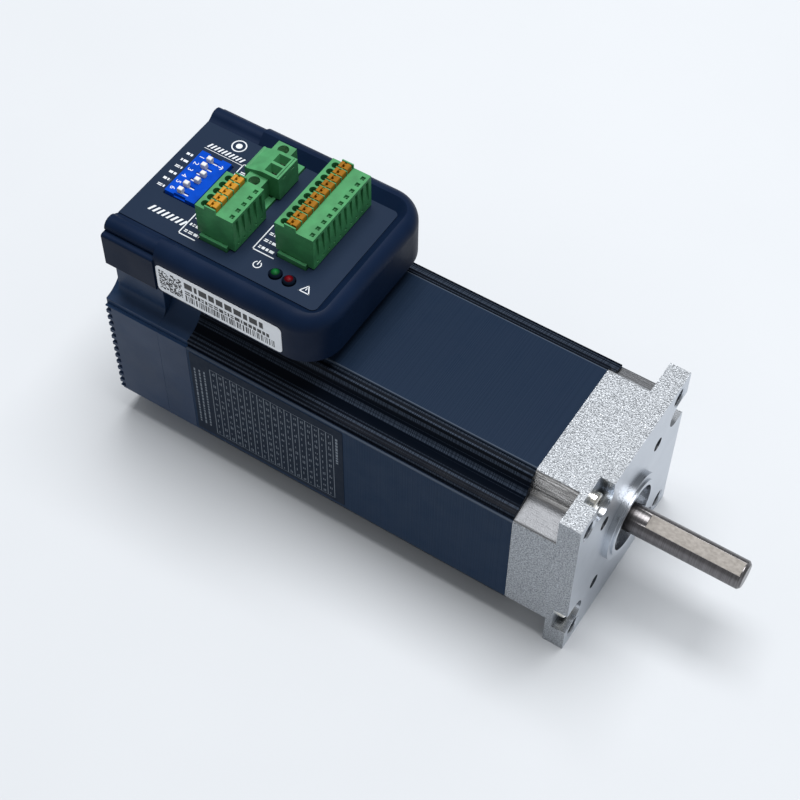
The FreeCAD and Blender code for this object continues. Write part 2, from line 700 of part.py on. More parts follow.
def drive_board():
    plate = round_slab(BOARD_REAR, BOARD_FRONT, BOARD_HALF_W, PLAN_R - 0.2,
                       BOARD_UNDER, BOARD_TOP, 1.0)
    return plate.cut([post(M25_CLEAR_R, BOARD_UNDER - 1, BOARD_TOP + 1, x, y)
                      for x, y in HOUSING_POSTS])


def housing_screws():
    """Rear housing screws, box screws from below, and the two screws into the bell."""
    screws = []
    for y, z in rear_screw_places():
        socket = rod(1.3, REAR_SEAT - 3, REAR_SEAT - 1.2, y, z)
        head = rod(M3_HEAD_R, REAR_SEAT - 2.4, REAR_SEAT, y, z).cut(socket)
        screws.append(joined([head, rod(M3_R, REAR_SEAT, -120.2, y, z)]))
    for x, y in HOUSING_POSTS:
        seat = NECK_TOP + 2.0
        head = post(M25_HEAD_R, seat - 1.7, seat, x, y)
        screws.append(joined([head, post(M25_R, seat, 44.6, x, y)]))
    for y in (-BASE_SCREW_Y, BASE_SCREW_Y):
        seat = BASE_TOP - 2.6
        head = post(M3_HEAD_R, seat, seat + 2.2, BASE_SCREW_X, y)
        screws.append(joined([head, post(M3_R, 24.9, seat, BASE_SCREW_X, y)]))
    return group(screws + encoder_screws())


def power_mosfets():
    return [block(x - 3.0, x + 3.0, y - 2.6, y + 2.6, PAD_TOP, BOARD_UNDER)
            for x, y in MOSFETS]


def thermal_pad():
    return block(-125.0, -103.0, -18.0, 18.0, BASE_TOP, PAD_TOP)


def bulk_capacitors():
    cans = []
    for y in (-9.0, 0.0, 9.0):
        can = post(CAPACITOR_R, BOARD_TOP + 0.6, CEILING - 0.3, CAPACITOR_X, y)
        rim = [edge for edge in can.Edges if edge.BoundBox.ZMin > CEILING - 0.4]
        can = can.makeFillet(0.5, rim)
        half = CAPACITOR_R + 0.2
        foot = block(CAPACITOR_X - half, CAPACITOR_X + half, y - half, y + half,
                     BOARD_TOP, BOARD_TOP + 0.8)
        cans.append(joined([can, foot]))
    return group(cans)


def board_chips():
    """Power transistors under the drive board, the controller, gate driver and bus chip
    on top of it, and the encoder chip on its own board."""
    chips = [block(-107.5, -103.0, 7.0, 14.0, BOARD_TOP, BOARD_TOP + 1.4),
             block(-109.0, -102.6, -12.0, -5.6, BOARD_TOP, BOARD_TOP + 1.2),
             block(-126.0, -121.4, -19.0, -10.0, BOARD_TOP, BOARD_TOP + 1.4),
             block(ENCODER_FRONT, ENCODER_FRONT + 1.0, -2.5, 2.5, -2.5, 2.5)]
    return group(chips + power_mosfets())


# ---- headers, plugs, switch and lamps ------------------------------------------
def pin(x, width, y, z0, z1):
    return block(x, x + width, y - width / 2, y + width / 2, z0, z1)


def pcb_headers():
    shells = []
    for rear, centre, half in header_plans():
        shell = block(rear, rear + HEADER_DEPTH, centre - half, centre + half,
                      BOARD_TOP, HEADER_TOP)
        wall = HEADER_WALL
        pocket = block(rear + wall, rear + HEADER_DEPTH - wall, centre - half + wall,
                       centre + half - wall, HEADER_FLOOR, HEADER_TOP + 1)
        poles = SIGNAL_POLES if centre == SIGNAL_Y else COMMS_POLES
        holes = [pin(rear + PIN_SET, PIN_W, y, BOARD_TOP - 1, BOARD_TOP + 3)
                 for y in pole_places(centre, poles, PITCH)]
        shells.append(shell.cut([pocket] + holes))
    half = POWER_EAR_HALF + 0.4
    shell = block(POWER_HEADER_REAR, POWER_HEADER_FRONT, POWER_Y - half, POWER_Y + half,
                  BOARD_TOP, POWER_HEADER_TOP)
    pocket = block(POWER_HEADER_REAR + HEADER_WALL, POWER_HEADER_FRONT - HEADER_WALL,
                   POWER_Y - POWER_HALF - 0.3, POWER_Y + POWER_HALF + 0.3,
                   HEADER_FLOOR, POWER_HEADER_TOP + 1)
    holes = [pin(POWER_PIN_REAR, POWER_PIN_W, y, BOARD_TOP - 1, BOARD_TOP + 3)
             for y in pole_places(POWER_Y, 2, POWER_PITCH)]
    nuts = [post(1.1, BOARD_TOP + 1, POWER_HEADER_TOP + 1, EAR_X, y)
            for y in pole_places(POWER_Y, 2, EAR_PITCH)]
    shells.append(shell.cut([pocket] + holes + nuts))
    return group(shells)


def header_pins():
    pins = []
    for rear, centre, poles in ((SIGNAL_REAR, SIGNAL_Y, SIGNAL_POLES),
                                (COMMS_REAR, COMMS_Y, COMMS_POLES)):
        x = rear + HEADER_SETBACK + PIN_SET
        for y in pole_places(centre, poles, PITCH):
            pins.append(pin(x, PIN_W, y, BOARD_TOP, HEADER_TOP - 0.8))
    for y in pole_places(POWER_Y, 2, POWER_PITCH):
        pins.append(pin(POWER_PIN_REAR, POWER_PIN_W, y, BOARD_TOP, HEADER_TOP - 0.8))
    return group(pins)


def front_groove(front, y):
    """Wedge cut into a plug's front face: deepest under the top edge, running out below."""
    profile = [Vector(front - GROOVE_DEPTH, y - GROOVE_W / 2, GROOVE_HIGH),
               Vector(front + 1, y - GROOVE_W / 2, GROOVE_HIGH),
               Vector(front + 1, y - GROOVE_W / 2, GROOVE_LOW),
               Vector(front, y - GROOVE_W / 2, GROOVE_LOW),
               Vector(front - GROOVE_DEPTH, y - GROOVE_W / 2, GROOVE_HIGH)]
    return Part.Face(Part.makePolygon(profile)).extrude(Vector(0, GROOVE_W, 0))


def push_in_plug(rear, centre, poles):
    """Spring plug: deck with wire holes, lever wells and test holes, grooved front face."""
    half = plug_half(poles)
    front = rear + PLUG_DEPTH
    base = HEADER_TOP + PULL_CLEAR
    body = block(rear, front, centre - half, centre + half, base, PLUG_TOP)
    skirt_x = rear + HEADER_SETBACK + HEADER_DEPTH + PULL_CLEAR
    skirt = block(skirt_x, front, centre - half, centre + half, DECK + 0.7, base + 0.1)
    tongue_rear = rear + HEADER_SETBACK + HEADER_WALL + PULL_CLEAR
    tongue_front = rear + HEADER_SETBACK + HEADER_DEPTH - HEADER_WALL - PULL_CLEAR
    tongue = block(tongue_rear, tongue_front, centre - half + PULL_CLEAR,
                   centre + half - PULL_CLEAR, TONGUE_LOW, base + 0.1)
    well_rear = rear + LEVER_SET
    well_front = well_rear + LEVER_LENGTH + 0.2
    fins = []
    cheek_t = PLUG_END_WALL - 0.15
    for y0, y1 in ((centre - half, centre - half + cheek_t),
                   (centre + half - cheek_t, centre + half)):
        fins.append(block(well_rear - 0.1, well_front + 0.1, y0, y1,
                          PLUG_TOP - 0.5, LEVER_TOP - FIN_DROP))
    for y in pole_places(centre, poles - 1, PITCH):
        fins.append(block(well_rear - 0.1, well_front, y - FIN_T / 2, y + FIN_T / 2,
                          PLUG_TOP - 0.5, LEVER_TOP - FIN_DROP))
    body = joined([body, skirt, tongue] + fins)
    tools = []
    for y in pole_places(centre, poles, PITCH):
        tools.append(post(WIRE_HOLE_R, 50.6, PLUG_TOP + 1, rear + 1.85, y))
        tools.append(block(well_rear, well_front,
                           y - LEVER_WIDTH / 2 - 0.1, y + LEVER_WIDTH / 2 + 0.1,
                           LEVER_LOW - LEVER_TRAVEL - 0.4, LEVER_TOP + 1))
        mouth = front - TEST_NOTCH_SET
        tools.append(block(mouth, mouth + TEST_NOTCH, y - TEST_NOTCH / 2, y + TEST_NOTCH / 2,
                           PLUG_TOP - 0.8, PLUG_TOP + 1))
        tools.append(post(TEST_HOLE_R, 54.4, PLUG_TOP, mouth + TEST_NOTCH / 2, y))
        tools.append(front_groove(front, y))
        tools.append(block(front - FOOT_HOLE, front + 1, y - FOOT_HOLE / 2, y + FOOT_HOLE / 2,
                           base + 0.4, base + 0.4 + FOOT_HOLE))
        tools.append(block(rear + 2.2, rear + 6.6, y - 0.8, y + 0.8, 43.6, 53.2))
        tools.append(block(rear + 4.5, rear + 6.0, y - 0.7, y + 0.7, TONGUE_LOW - 0.2, 44.0))
    return body.cut(tools)


def spring_contacts(rear, centre, poles):
    """One spring cage for each pole: a U-shaped strip that straddles the header pin."""
    cages = []
    for y in pole_places(centre, poles, PITCH):
        cages.append(joined([block(rear + 2.4, rear + 2.8, y - 0.7, y + 0.7, 44.4, 53.0),
                             block(rear + 2.4, rear + 6.4, y - 0.7, y + 0.7, 52.6, 53.0),
                             block(rear + 6.0, rear + 6.4, y - 0.7, y + 0.7, 44.4, 53.0)]))
    return group(cages)


def release_lever(rear, y):
    """Orange push tab: two humps with a valley between them and a screwdriver hole."""
    x0 = rear + LEVER_SET + 0.1
    middle = x0 + LEVER_LENGTH * 0.45
    half_w = LEVER_WIDTH / 2
    tab = block(x0, x0 + LEVER_LENGTH, y - half_w, y + half_w, LEVER_LOW, LEVER_TOP)
    valley = block(middle - 0.2, middle + 0.2, y - half_w - 1, y + half_w + 1,
                   LEVER_TOP - 0.45, LEVER_TOP + 1)
    tab = tab.cut(valley)
    rounded = [edge for edge in tab.Edges
               if edge.BoundBox.ZMin > LEVER_TOP - 0.01 and edge.BoundBox.YLength > 1]
    tab = tab.makeFillet(0.4, rounded)
    hole = block(middle - 0.35, middle + 0.35, y - 0.35, y + 0.35, LEVER_TOP - 1.2, LEVER_TOP + 1)
    return tab.cut(hole)


def wire_mouth(y):
    """Funnel over one wire clamp of the power plug."""
    rings = []
    for z, inset in ((CLAMP_TOP, MOUTH_TAPER), (POWER_TOP, 0.0),
                     (POWER_TOP + 1.0, 0.0)):
        x0, x1 = MOUTH_REAR + inset, MOUTH_FRONT - inset
        y0, y1 = y - MOUTH_HALF_W + inset, y + MOUTH_HALF_W - inset
        rings.append(Part.makePolygon([Vector(x0, y0, z), Vector(x1, y0, z), Vector(x1, y1, z),
                                       Vector(x0, y1, z), Vector(x0, y0, z)]))
    return Part.makeLoft(rings, True, True)


def power_plug():
    """Two-way screw plug: sloping hood, wire block and two ears."""
    y0, y1 = POWER_Y - POWER_HALF, POWER_Y + POWER_HALF
    step_x = -115.3
    base = POWER_BASE
    profile = [Vector(POWER_REAR, y0, 50.2), Vector(POWER_REAR, y0, 54.0),
               Vector(POWER_REAR + 0.5, y0, 54.3), Vector(POWER_REAR + 0.9, y0, 54.1),
               Vector(step_x, y0, POWER_TOP), Vector(POWER_FRONT, y0, POWER_TOP),
               Vector(POWER_FRONT, y0, base), Vector(POWER_REAR + 1.4, y0, base),
               Vector(POWER_REAR + 1.4, y0, 49.2), Vector(POWER_REAR, y0, 50.2)]
    main = Part.Face(Part.makePolygon(profile)).extrude(Vector(0, y1 - y0, 0))
    ears = []
    for low in (POWER_Y - POWER_EAR_HALF, y1 - 0.1):
        ears.append(block(-119.0, -113.4, low, low + POWER_EAR_HALF - POWER_HALF + 0.1,
                          base, EAR_TOP))
    gap = HEADER_WALL + 0.2
    tongue = block(POWER_HEADER_REAR + gap, POWER_HEADER_FRONT - gap, y0 + 0.1, y1 - 0.1,
                   TONGUE_LOW, base + 0.1)
    body = joined([main, tongue] + ears)
    tools = []
    for y in pole_places(POWER_Y, 2, EAR_PITCH):
        tools.append(post(EAR_HOLE_R, EAR_TOP - EAR_DEPTH, EAR_TOP + 1, EAR_X, y))
        tools.append(post(1.1, base - 1, EAR_TOP, EAR_X, y))
    for y in pole_places(POWER_Y, 2, POWER_PITCH):
        tools.append(block(MOUTH_REAR, MOUTH_FRONT, y - MOUTH_HALF_W, y + MOUTH_HALF_W,
                           49.4, CLAMP_TOP + 0.1))
        tools.append(wire_mouth(y))
        tools.append(block(-117.2, -114.0, y - 1.2, y + 1.2, 42.0, 50.0))
        tools.append(rod(1.2, POWER_REAR - 1, -115.0, y, CLAMP_SCREW_Z))
        tools.append(block(POWER_FRONT - 0.5, POWER_FRONT + 1, y - LATCH_W / 2, y + LATCH_W / 2,
                           LATCH_Z, LATCH_Z + LATCH_H))
    groove = block(-110.9, -110.7, y0 + 0.3, y1 - 0.3, POWER_TOP - 0.3, POWER_TOP + 1)
    return body.cut(tools + [groove])


def power_clamps():
    """Metal cages in the wire openings, with the strip that meets the header pin."""
    cages = []
    for y in pole_places(POWER_Y, 2, POWER_PITCH):
        cage = block(-115.0, -111.5, y - 1.4, y + 1.4, 49.5, CLAMP_TOP)
        mouth = block(-114.6, -111.9, y - 1.1, y + 1.1, 50.0, CLAMP_TOP + 1)
        thread = rod(0.9, -116, -114.2, y, CLAMP_SCREW_Z)
        strip = block(-114.9, -114.5, y - 1.0, y + 1.0, 43.0, 49.6)
        cages.append(joined([cage.cut([mouth, thread]), strip]))
    return group(cages)


def power_screws():
    """Two clamp screws facing backwards and two flange screws in the ears."""
    screws = []
    for y in pole_places(POWER_Y, 2, POWER_PITCH):
        head = rod(1.15, -119.4, -118.0, y, CLAMP_SCREW_Z)
        slot = block(-120.0, -118.9, y - 0.2, y + 0.2, 50.0, 54.0)
        shank = rod(0.85, -118.1, -113.6, y, CLAMP_SCREW_Z)
        screws.append(joined([head.cut(slot), shank]))
    for y in pole_places(POWER_Y, 2, EAR_PITCH):
        seat = EAR_TOP - EAR_DEPTH
        head = post(EAR_HOLE_R - 0.1, seat, seat + 1.4, EAR_X, y)
        slot = block(EAR_X - 2, EAR_X + 2, y - 0.25, y + 0.25, seat + 0.8, EAR_TOP)
        screws.append(joined([head.cut(slot), post(1.0, 43.0, seat + 0.1, EAR_X, y)]))
    return group(screws)


def dip_knob_rear(way):
    return DIP_SLOT_REAR + 0.05 + (DIP_TRAVEL if way in DIP_ON else 0.0)


def dip_y(way):
    """Way 1 is at the far (+Y) end."""
    return DIP_Y - 0.3 + DIP_PITCH * ((DIP_WAYS + 1) / 2 - way)


def dip_body():
    body = block(DIP_REAR, DIP_FRONT, DIP_Y - DIP_LENGTH / 2, DIP_Y + DIP_LENGTH / 2,
                 BOARD_TOP + 1.0, DIP_TOP)
    tools = []
    for way in range(1, DIP_WAYS + 1):
        y = dip_y(way)
        tools.append(block(DIP_SLOT_REAR, DIP_SLOT_REAR + DIP_KNOB + DIP_TRAVEL + 0.1,
                           y - DIP_SLOT_HALF_W, y + DIP_SLOT_HALF_W,
                           DIP_TOP - DIP_SLOT_DEPTH, DIP_TOP + 1))
    for sign in (-1, 1):
        y = DIP_Y + sign * DIP_LENGTH / 2
        tools.append(block(-134.0, -130.4, y - DIP_SIDE_NOTCH, y + DIP_SIDE_NOTCH,
                           DIP_TOP - 1.0, DIP_TOP + 1))
    return body.cut(tools)


def dip_slider(way):
    y = dip_y(way)
    x0 = dip_knob_rear(way)
    knob = block(x0, x0 + DIP_KNOB, y - DIP_KNOB_HALF_W, y + DIP_KNOB_HALF_W,
                 DIP_TOP + 0.05, DIP_TOP + DIP_KNOB_RISE)
    rim = [edge for edge in knob.Edges if edge.BoundBox.ZMin > DIP_TOP + DIP_KNOB_RISE - 0.1]
    key_half_w = DIP_SLOT_HALF_W - 0.06
    key = block(x0, x0 + DIP_KNOB, y - key_half_w, y + key_half_w,
                DIP_TOP - DIP_SLOT_DEPTH + 0.1, DIP_TOP + 0.1)
    return joined([knob.makeFillet(0.3, rim), key])


def lamp(x):
    """Light pipe with a domed head that stands a little above the overlay."""
    stem = post(LED_R, BOARD_TOP, DECK + 0.6, x, LED_Y)
    dome = Part.makeSphere(LED_DOME_R, Vector(x, LED_Y, DECK - 0.1))
    dome = dome.common(post(LED_R, DECK, DECK + 5, x, LED_Y))
    return joined([stem, dome])


# ---- labels --------------------------------------------------------------------
def side_sticker(x0, x1, z0, z1, y, radius):
    plate = block(x0, x1, y - LABEL_T, y, z0, z1)
    corners = [edge for edge in plate.Edges if edge.BoundBox.YLength > LABEL_T / 2]
    return plate.makeFillet(radius, corners)


def serial_label():
    return side_sticker(-125.9, -87.2, 34.9, 44.6, -BOX_HALF_W, 1.4)


def spec_label():
    return side_sticker(-116.9, -68.4, -16.6, 17.0, -HALF, 0.4)


# ---- write one file for each sub-part ------------------------------------------
def save(name, shape):
    shape.exportStep("parts/%s.step" % name)


os.makedirs("parts", exist_ok=True)
save("front_flange", front_flange())
save("stator_core", stator_core())
save("coil_bobbins", coil_bobbins())
save("stator_coils", stator_coils())
save("rear_bell", rear_bell())
save("rear_housing", rear_housing())
save("motor_shaft", motor_shaft())
save("rotor_core", rotor_core())
save("rotor_magnets", rotor_magnets())
save("bearing_outer_races", bearing_races(BEARING_R, BALL_CIRCLE_R + BALL_R, True))
save("bearing_inner_races", bearing_races(BALL_CIRCLE_R - BALL_R - 0.1, SHAFT_R, False))
save("bearing_balls", bearing_balls())
save("wave_washer", wave_washer())
save("tie_screws", tie_screws())
save("encoder_magnet", encoder_magnet())
save("encoder_board", encoder_board())
save("motor_leads", motor_leads())
save("drive_base", drive_base())
save("drive_housing", drive_housing())
save("top_overlay", top_overlay())
save("drive_board", drive_board())
save("housing_screws", housing_screws())
save("thermal_pad", thermal_pad())
save("bulk_capacitors", bulk_capacitors())
save("board_chips", board_chips())
save("pcb_headers", pcb_headers())
save("header_pins", header_pins())
save("signal_plug", push_in_plug(SIGNAL_REAR, SIGNAL_Y, SIGNAL_POLES))
save("comms_plug", push_in_plug(COMMS_REAR, COMMS_Y, COMMS_POLES))
save("signal_contacts", spring_contacts(SIGNAL_REAR, SIGNAL_Y, SIGNAL_POLES))
save("comms_contacts", spring_contacts(COMMS_REAR, COMMS_Y, COMMS_POLES))
save("power_plug", power_plug())
save("power_clamps", power_clamps())
save("power_screws", power_screws())
save("dip_body", dip_body())
save("led_green", lamp(LED_GREEN_X))
save("led_red", lamp(LED_RED_X))
save("serial_label", serial_label())
save("spec_label", spec_label())
for number, y in enumerate(pole_places(SIGNAL_Y, SIGNAL_POLES, PITCH), 1):
    save("signal_lever_%d" % number, release_lever(SIGNAL_REAR, y))
for number, y in enumerate(pole_places(COMMS_Y, COMMS_POLES, PITCH), 1):
    save("comms_lever_%d" % number, release_lever(COMMS_REAR, y))
for way in range(1, DIP_WAYS + 1):
    save("dip_slider_%d" % way, dip_slider(way))
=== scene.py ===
import json
import math
import random

import bmesh
import bpy
from mathutils import Matrix, Vector

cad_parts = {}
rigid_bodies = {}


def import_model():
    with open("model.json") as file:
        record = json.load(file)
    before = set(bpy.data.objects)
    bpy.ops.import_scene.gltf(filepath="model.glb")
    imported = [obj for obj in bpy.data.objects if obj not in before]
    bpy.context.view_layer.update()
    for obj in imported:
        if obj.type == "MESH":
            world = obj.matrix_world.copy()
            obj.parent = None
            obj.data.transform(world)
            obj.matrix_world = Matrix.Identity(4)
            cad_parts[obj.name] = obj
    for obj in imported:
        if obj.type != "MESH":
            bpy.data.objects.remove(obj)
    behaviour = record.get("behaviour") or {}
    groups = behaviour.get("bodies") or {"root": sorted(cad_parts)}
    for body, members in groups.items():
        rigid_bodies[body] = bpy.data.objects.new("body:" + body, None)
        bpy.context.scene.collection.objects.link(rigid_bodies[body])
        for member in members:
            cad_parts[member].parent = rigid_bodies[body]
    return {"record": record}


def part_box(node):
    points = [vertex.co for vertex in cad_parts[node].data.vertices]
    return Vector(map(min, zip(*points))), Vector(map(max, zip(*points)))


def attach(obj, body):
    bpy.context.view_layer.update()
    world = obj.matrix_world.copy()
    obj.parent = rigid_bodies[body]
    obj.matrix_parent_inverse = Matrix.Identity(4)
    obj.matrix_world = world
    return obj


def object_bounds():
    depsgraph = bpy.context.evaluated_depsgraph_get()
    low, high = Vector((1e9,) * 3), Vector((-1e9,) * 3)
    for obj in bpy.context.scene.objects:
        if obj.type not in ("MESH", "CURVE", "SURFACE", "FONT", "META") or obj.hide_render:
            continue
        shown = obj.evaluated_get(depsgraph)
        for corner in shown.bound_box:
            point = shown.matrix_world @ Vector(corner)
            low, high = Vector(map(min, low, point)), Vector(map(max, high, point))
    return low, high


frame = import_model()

# Looks for the integrated servo motor.  The frame gives every shape; this script adds
# edge rounding, printed marks and the surface of each material.  Lengths are written
# in millimetres and turned into metres by MM.

MM = 0.001
cad_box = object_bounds()

# Places on the motor that the surfaces refer to, as seen along the shaft: y and z run
# out from the shaft's axis and the flange is a square.
FLAT_EDGE = 17.9           # half width of the stator's flats, where its hollows begin
FLAT_HIGHLIGHT = 17.55           # the painted highlight along the flats' edges starts here
STACK_SKIN = 28.3          # the stator's hollows lie inside this square
STACK_HIGHLIGHT = 28.0           # the painted highlight lies outside this square
CAP_SKIN = 28.2            # the end cap's as-cast sides lie outside this square
CAP_HOLLOW = 18.6          # its hollow corners lie outside this square
FLANGE_BACK = -6.02        # and behind the flange plate
SHAFT_FLAT = 3.5           # height of the shaft's flat over the axis
SHAFT_FLAT_START, SHAFT_FLAT_END = 6.7, 33.5
SHAFT_FLAT_TILT = 13.5     # degrees from straight up
SLOT_DEPTH = 0.3           # the switch's slot floors lie deeper than this
SLOT_MARGIN = 0.75         # and at least this far from the switch's ends
LAMINATION = 0.5           # sheet pitch in the stator
WAVE_TURNS = 20            # a wave texture of scale 1 has its bands 2 pi / 20 apart


def box_mm(node):
    low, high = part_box(node)
    return low / MM, high / MM


# ---- surfaces ------------------------------------------------------------------
class Surface:
    """A Principled material and short calls that add procedural nodes to it."""

    def __init__(self, name, colour, roughness=0.5, metallic=0.0, **sockets):
        self.material = bpy.data.materials.new(name)
        self.material.use_nodes = True
        self.tree = self.material.node_tree
        self.shader = self.tree.nodes["Principled BSDF"]
        self.place = self.tree.nodes.new("ShaderNodeTexCoord").outputs["Object"]
        self.relief = None
        self.shader.inputs["Base Color"].default_value = (*colour, 1.0)
        self.shader.inputs["Roughness"].default_value = roughness
        self.shader.inputs["Metallic"].default_value = metallic
        for key, value in sockets.items():
            self.shader.inputs[key.replace("_", " ")].default_value = value

    def node(self, kind, **settings):
        made = self.tree.nodes.new(kind)
        for key, value in settings.items():
            setattr(made, key, value)
        return made

    def feed(self, socket, value):
        """Links an output to a socket, or writes a plain value into it."""
        if isinstance(value, bpy.types.NodeSocket):
            self.tree.links.new(value, socket)
        elif isinstance(value, tuple) and len(value) == 3 and len(socket.default_value) == 4:
            socket.default_value = (*value, 1.0)
        else:
            socket.default_value = value

    def stretched(self, size, stretch=(1, 1, 1)):
        """Object coordinates divided by a feature size in millimetres."""
        mapping = self.node("ShaderNodeMapping")
        mapping.inputs["Scale"].default_value = [v / (size * MM) for v in stretch]
        self.feed(mapping.inputs["Vector"], self.place)
        return mapping.outputs["Vector"]

    def noise(self, size, detail=2.0, stretch=(1, 1, 1), rough=0.5):
        tex = self.node("ShaderNodeTexNoise")
        tex.inputs["Scale"].default_value = 1.0
        tex.inputs["Detail"].default_value = detail
        tex.inputs["Roughness"].default_value = rough
        self.feed(tex.inputs["Vector"], self.stretched(size, stretch))
        return tex.outputs["Fac"]

    def cells(self, size):
        """Distance to the nearest of scattered points, one for each cube of this size."""
        tex = self.node("ShaderNodeTexVoronoi")
        tex.inputs["Scale"].default_value = 1.0
        self.feed(tex.inputs["Vector"], self.stretched(size))
        return tex.outputs["Distance"]

    def waves(self, pitch):
        """Sine bands square to the X axis, one for each pitch in millimetres."""
        tex = self.node("ShaderNodeTexWave", wave_type="BANDS", bands_direction="X")
        tex.inputs["Scale"].default_value = 2 * math.pi / WAVE_TURNS
        tex.inputs["Detail"].default_value = 0.0
        self.feed(tex.inputs["Vector"], self.stretched(pitch))
        return tex.outputs["Fac"]

    def axis(self, name):
        split = self.node("ShaderNodeSeparateXYZ")
        self.feed(split.inputs[0], self.place)
        return split.outputs[name]

    def math(self, operation, a, b=0.0):
        made = self.node("ShaderNodeMath", operation=operation)
        self.feed(made.inputs[0], a)
        self.feed(made.inputs[1], b)
        return made.outputs[0]

    def span(self, value, low, high, to_low=0.0, to_high=1.0):
        """Maps low..high to to_low..to_high, clamped."""
        made = self.node("ShaderNodeMapRange")
        for socket, number in zip(made.inputs, (value, low, high, to_low, to_high)):
            self.feed(socket, number)
        return made.outputs["Result"]

    def mix(self, factor, a, b):
        """Colour a where the factor is 0, colour b where it is 1."""
        made = self.node("ShaderNodeMix", data_type="RGBA")
        self.feed(made.inputs["Factor"], factor)
        self.feed(next(i for i in made.inputs if i.identifier == "A_Color"), a)
        self.feed(next(i for i in made.inputs if i.identifier == "B_Color"), b)
        return next(o for o in made.outputs if o.identifier == "Result_Color")

    def colour(self, value):
        self.feed(self.shader.inputs["Base Color"], value)

    def roughness(self, value):
        self.feed(self.shader.inputs["Roughness"], value)

    def bump(self, height, depth, strength=1.0):
        """Adds relief; depth is the height in millimetres between black and white."""
        made = self.node("ShaderNodeBump")
        made.inputs["Strength"].default_value = strength
        made.inputs["Distance"].default_value = depth * MM
        self.feed(made.inputs["Height"], height)
        if self.relief is not None:
            self.feed(made.inputs["Normal"], self.relief)
        self.relief = made.outputs["Normal"]
        self.feed(self.shader.inputs["Normal"], self.relief)

    def facing(self, axis, low, high):
        """0 to 1 as the object-space normal's part along an axis goes from low to high."""
        coords = self.node("ShaderNodeTexCoord")
        split = self.node("ShaderNodeSeparateXYZ")
        self.feed(split.inputs[0], coords.outputs["Normal"])
        return self.span(split.outputs[axis], low, high)

    def square(self, operation):
        """The larger or smaller of |y| and |z|: how far out a point is in the square."""
        return self.math(operation, self.math("ABSOLUTE", self.axis("Y")),
                         self.math("ABSOLUTE", self.axis("Z")))

    def above(self, value, level):
        """1 where a length is more than a level in millimetres."""
        return self.math("GREATER_THAN", value, level * MM)

    def below(self, value, level):
        return self.math("LESS_THAN", value, level * MM)

    def both(self, *masks):
        """1 where every mask is 1."""
        product = masks[0]
        for mask in masks[1:]:
            product = self.math("MULTIPLY", product, mask)
        return product

    def inverse(self, mask):
        return self.math("SUBTRACT", 1.0, mask)


def powder_coat(name, colour, roughness=0.42, gloss=0.5):
    """Satin coating with a fine orange peel and faint handling marks."""
    s = Surface(name, colour, roughness, Specular_IOR_Level=gloss)
    cloud = s.noise(16.0, 3.0)
    lighter = tuple(1.25 * c + 0.001 for c in colour)
    s.colour(s.mix(s.span(cloud, 0.35, 0.7), colour, lighter))
    s.roughness(s.span(s.noise(6.0, 4.0), 0.3, 0.7, roughness - 0.05, roughness + 0.07))
    s.bump(s.noise(0.55, 2.0), 0.012)
    s.bump(s.noise(2.6, 1.0), 0.012)
    return s.material


def overlay_film():
    s = Surface("overlay_film", (0.0085, 0.018, 0.040), 0.5, Specular_IOR_Level=0.09)
    s.colour(s.mix(s.noise(22.0, 3.0), (0.0080, 0.0170, 0.038), (0.0105, 0.0215, 0.046)))
    s.roughness(s.span(s.noise(3.0, 4.0), 0.3, 0.7, 0.46, 0.58))
    s.bump(s.noise(0.28, 2.0), 0.006)
    return s.material


def lamination_navy():
    """Painted stack of thin sheets: fine lines square to the shaft, hollow corners painted near
    black as painted shade with pale streaks along the shaft, partly the sheets' hatch and partly
    painted sheen, a painted highlight along the edge of each flat, and side flats painted lighter
    than the tops as painted light."""
    s = Surface("lamination_navy", (0.0075, 0.0165, 0.035), 0.36, Specular_IOR_Level=0.035)
    sheet = s.noise(0.26, 0.0, (1, 0.0001, 0.0001))
    line = s.waves(LAMINATION)
    hollow = s.both(s.above(s.square("MINIMUM"), FLAT_EDGE),
                    s.below(s.square("MAXIMUM"), STACK_SKIN))
    grain = s.span(sheet, 0.3, 0.7)
    # Painted light: side flats get a lighter, bluer copy of the colour than the top flats, which
    # stands in for light falling on the sides.
    deck = s.mix(grain, (0.0080, 0.0170, 0.036), (0.0120, 0.0230, 0.046))
    sides = s.mix(grain, (0.0110, 0.0270, 0.059), (0.0165, 0.0360, 0.075))
    flats = s.mix(s.facing("Z", 0.5, 0.9), sides, deck)
    # Painted shade: the hollow corners are painted near black, with pale streaks that are partly
    # the sheets' hatch and partly painted sheen.
    dotted = s.mix(s.span(sheet, 0.35, 0.65), (0.0060, 0.0100, 0.018), (0.0420, 0.0560, 0.082))
    ridges = s.noise(0.9, 1.0, (0.002, 1, 1))
    hollow_painted_shade = s.mix(s.span(ridges, 0.50, 0.60), (0.0012, 0.0028, 0.0065), dotted)
    # Painted highlight: a pale band along each flat's edge, where the bevel meets the hollow.
    edge_highlight = s.both(s.above(s.square("MAXIMUM"), STACK_HIGHLIGHT),
                 s.above(s.square("MINIMUM"), FLAT_HIGHLIGHT))
    s.colour(s.mix(edge_highlight, s.mix(hollow, flats, hollow_painted_shade), (0.050, 0.066, 0.094)))
    s.roughness(s.span(s.noise(5.0, 3.0), 0.3, 0.7, 0.30, 0.44))
    s.bump(line, 0.02, 0.4)
    s.bump(s.both(sheet, s.span(hollow, 0.0, 1.0, 0.15, 0.6)), 0.06, 0.7)
    s.bump(s.noise(0.35, 2.0), 0.010)
    return s.material


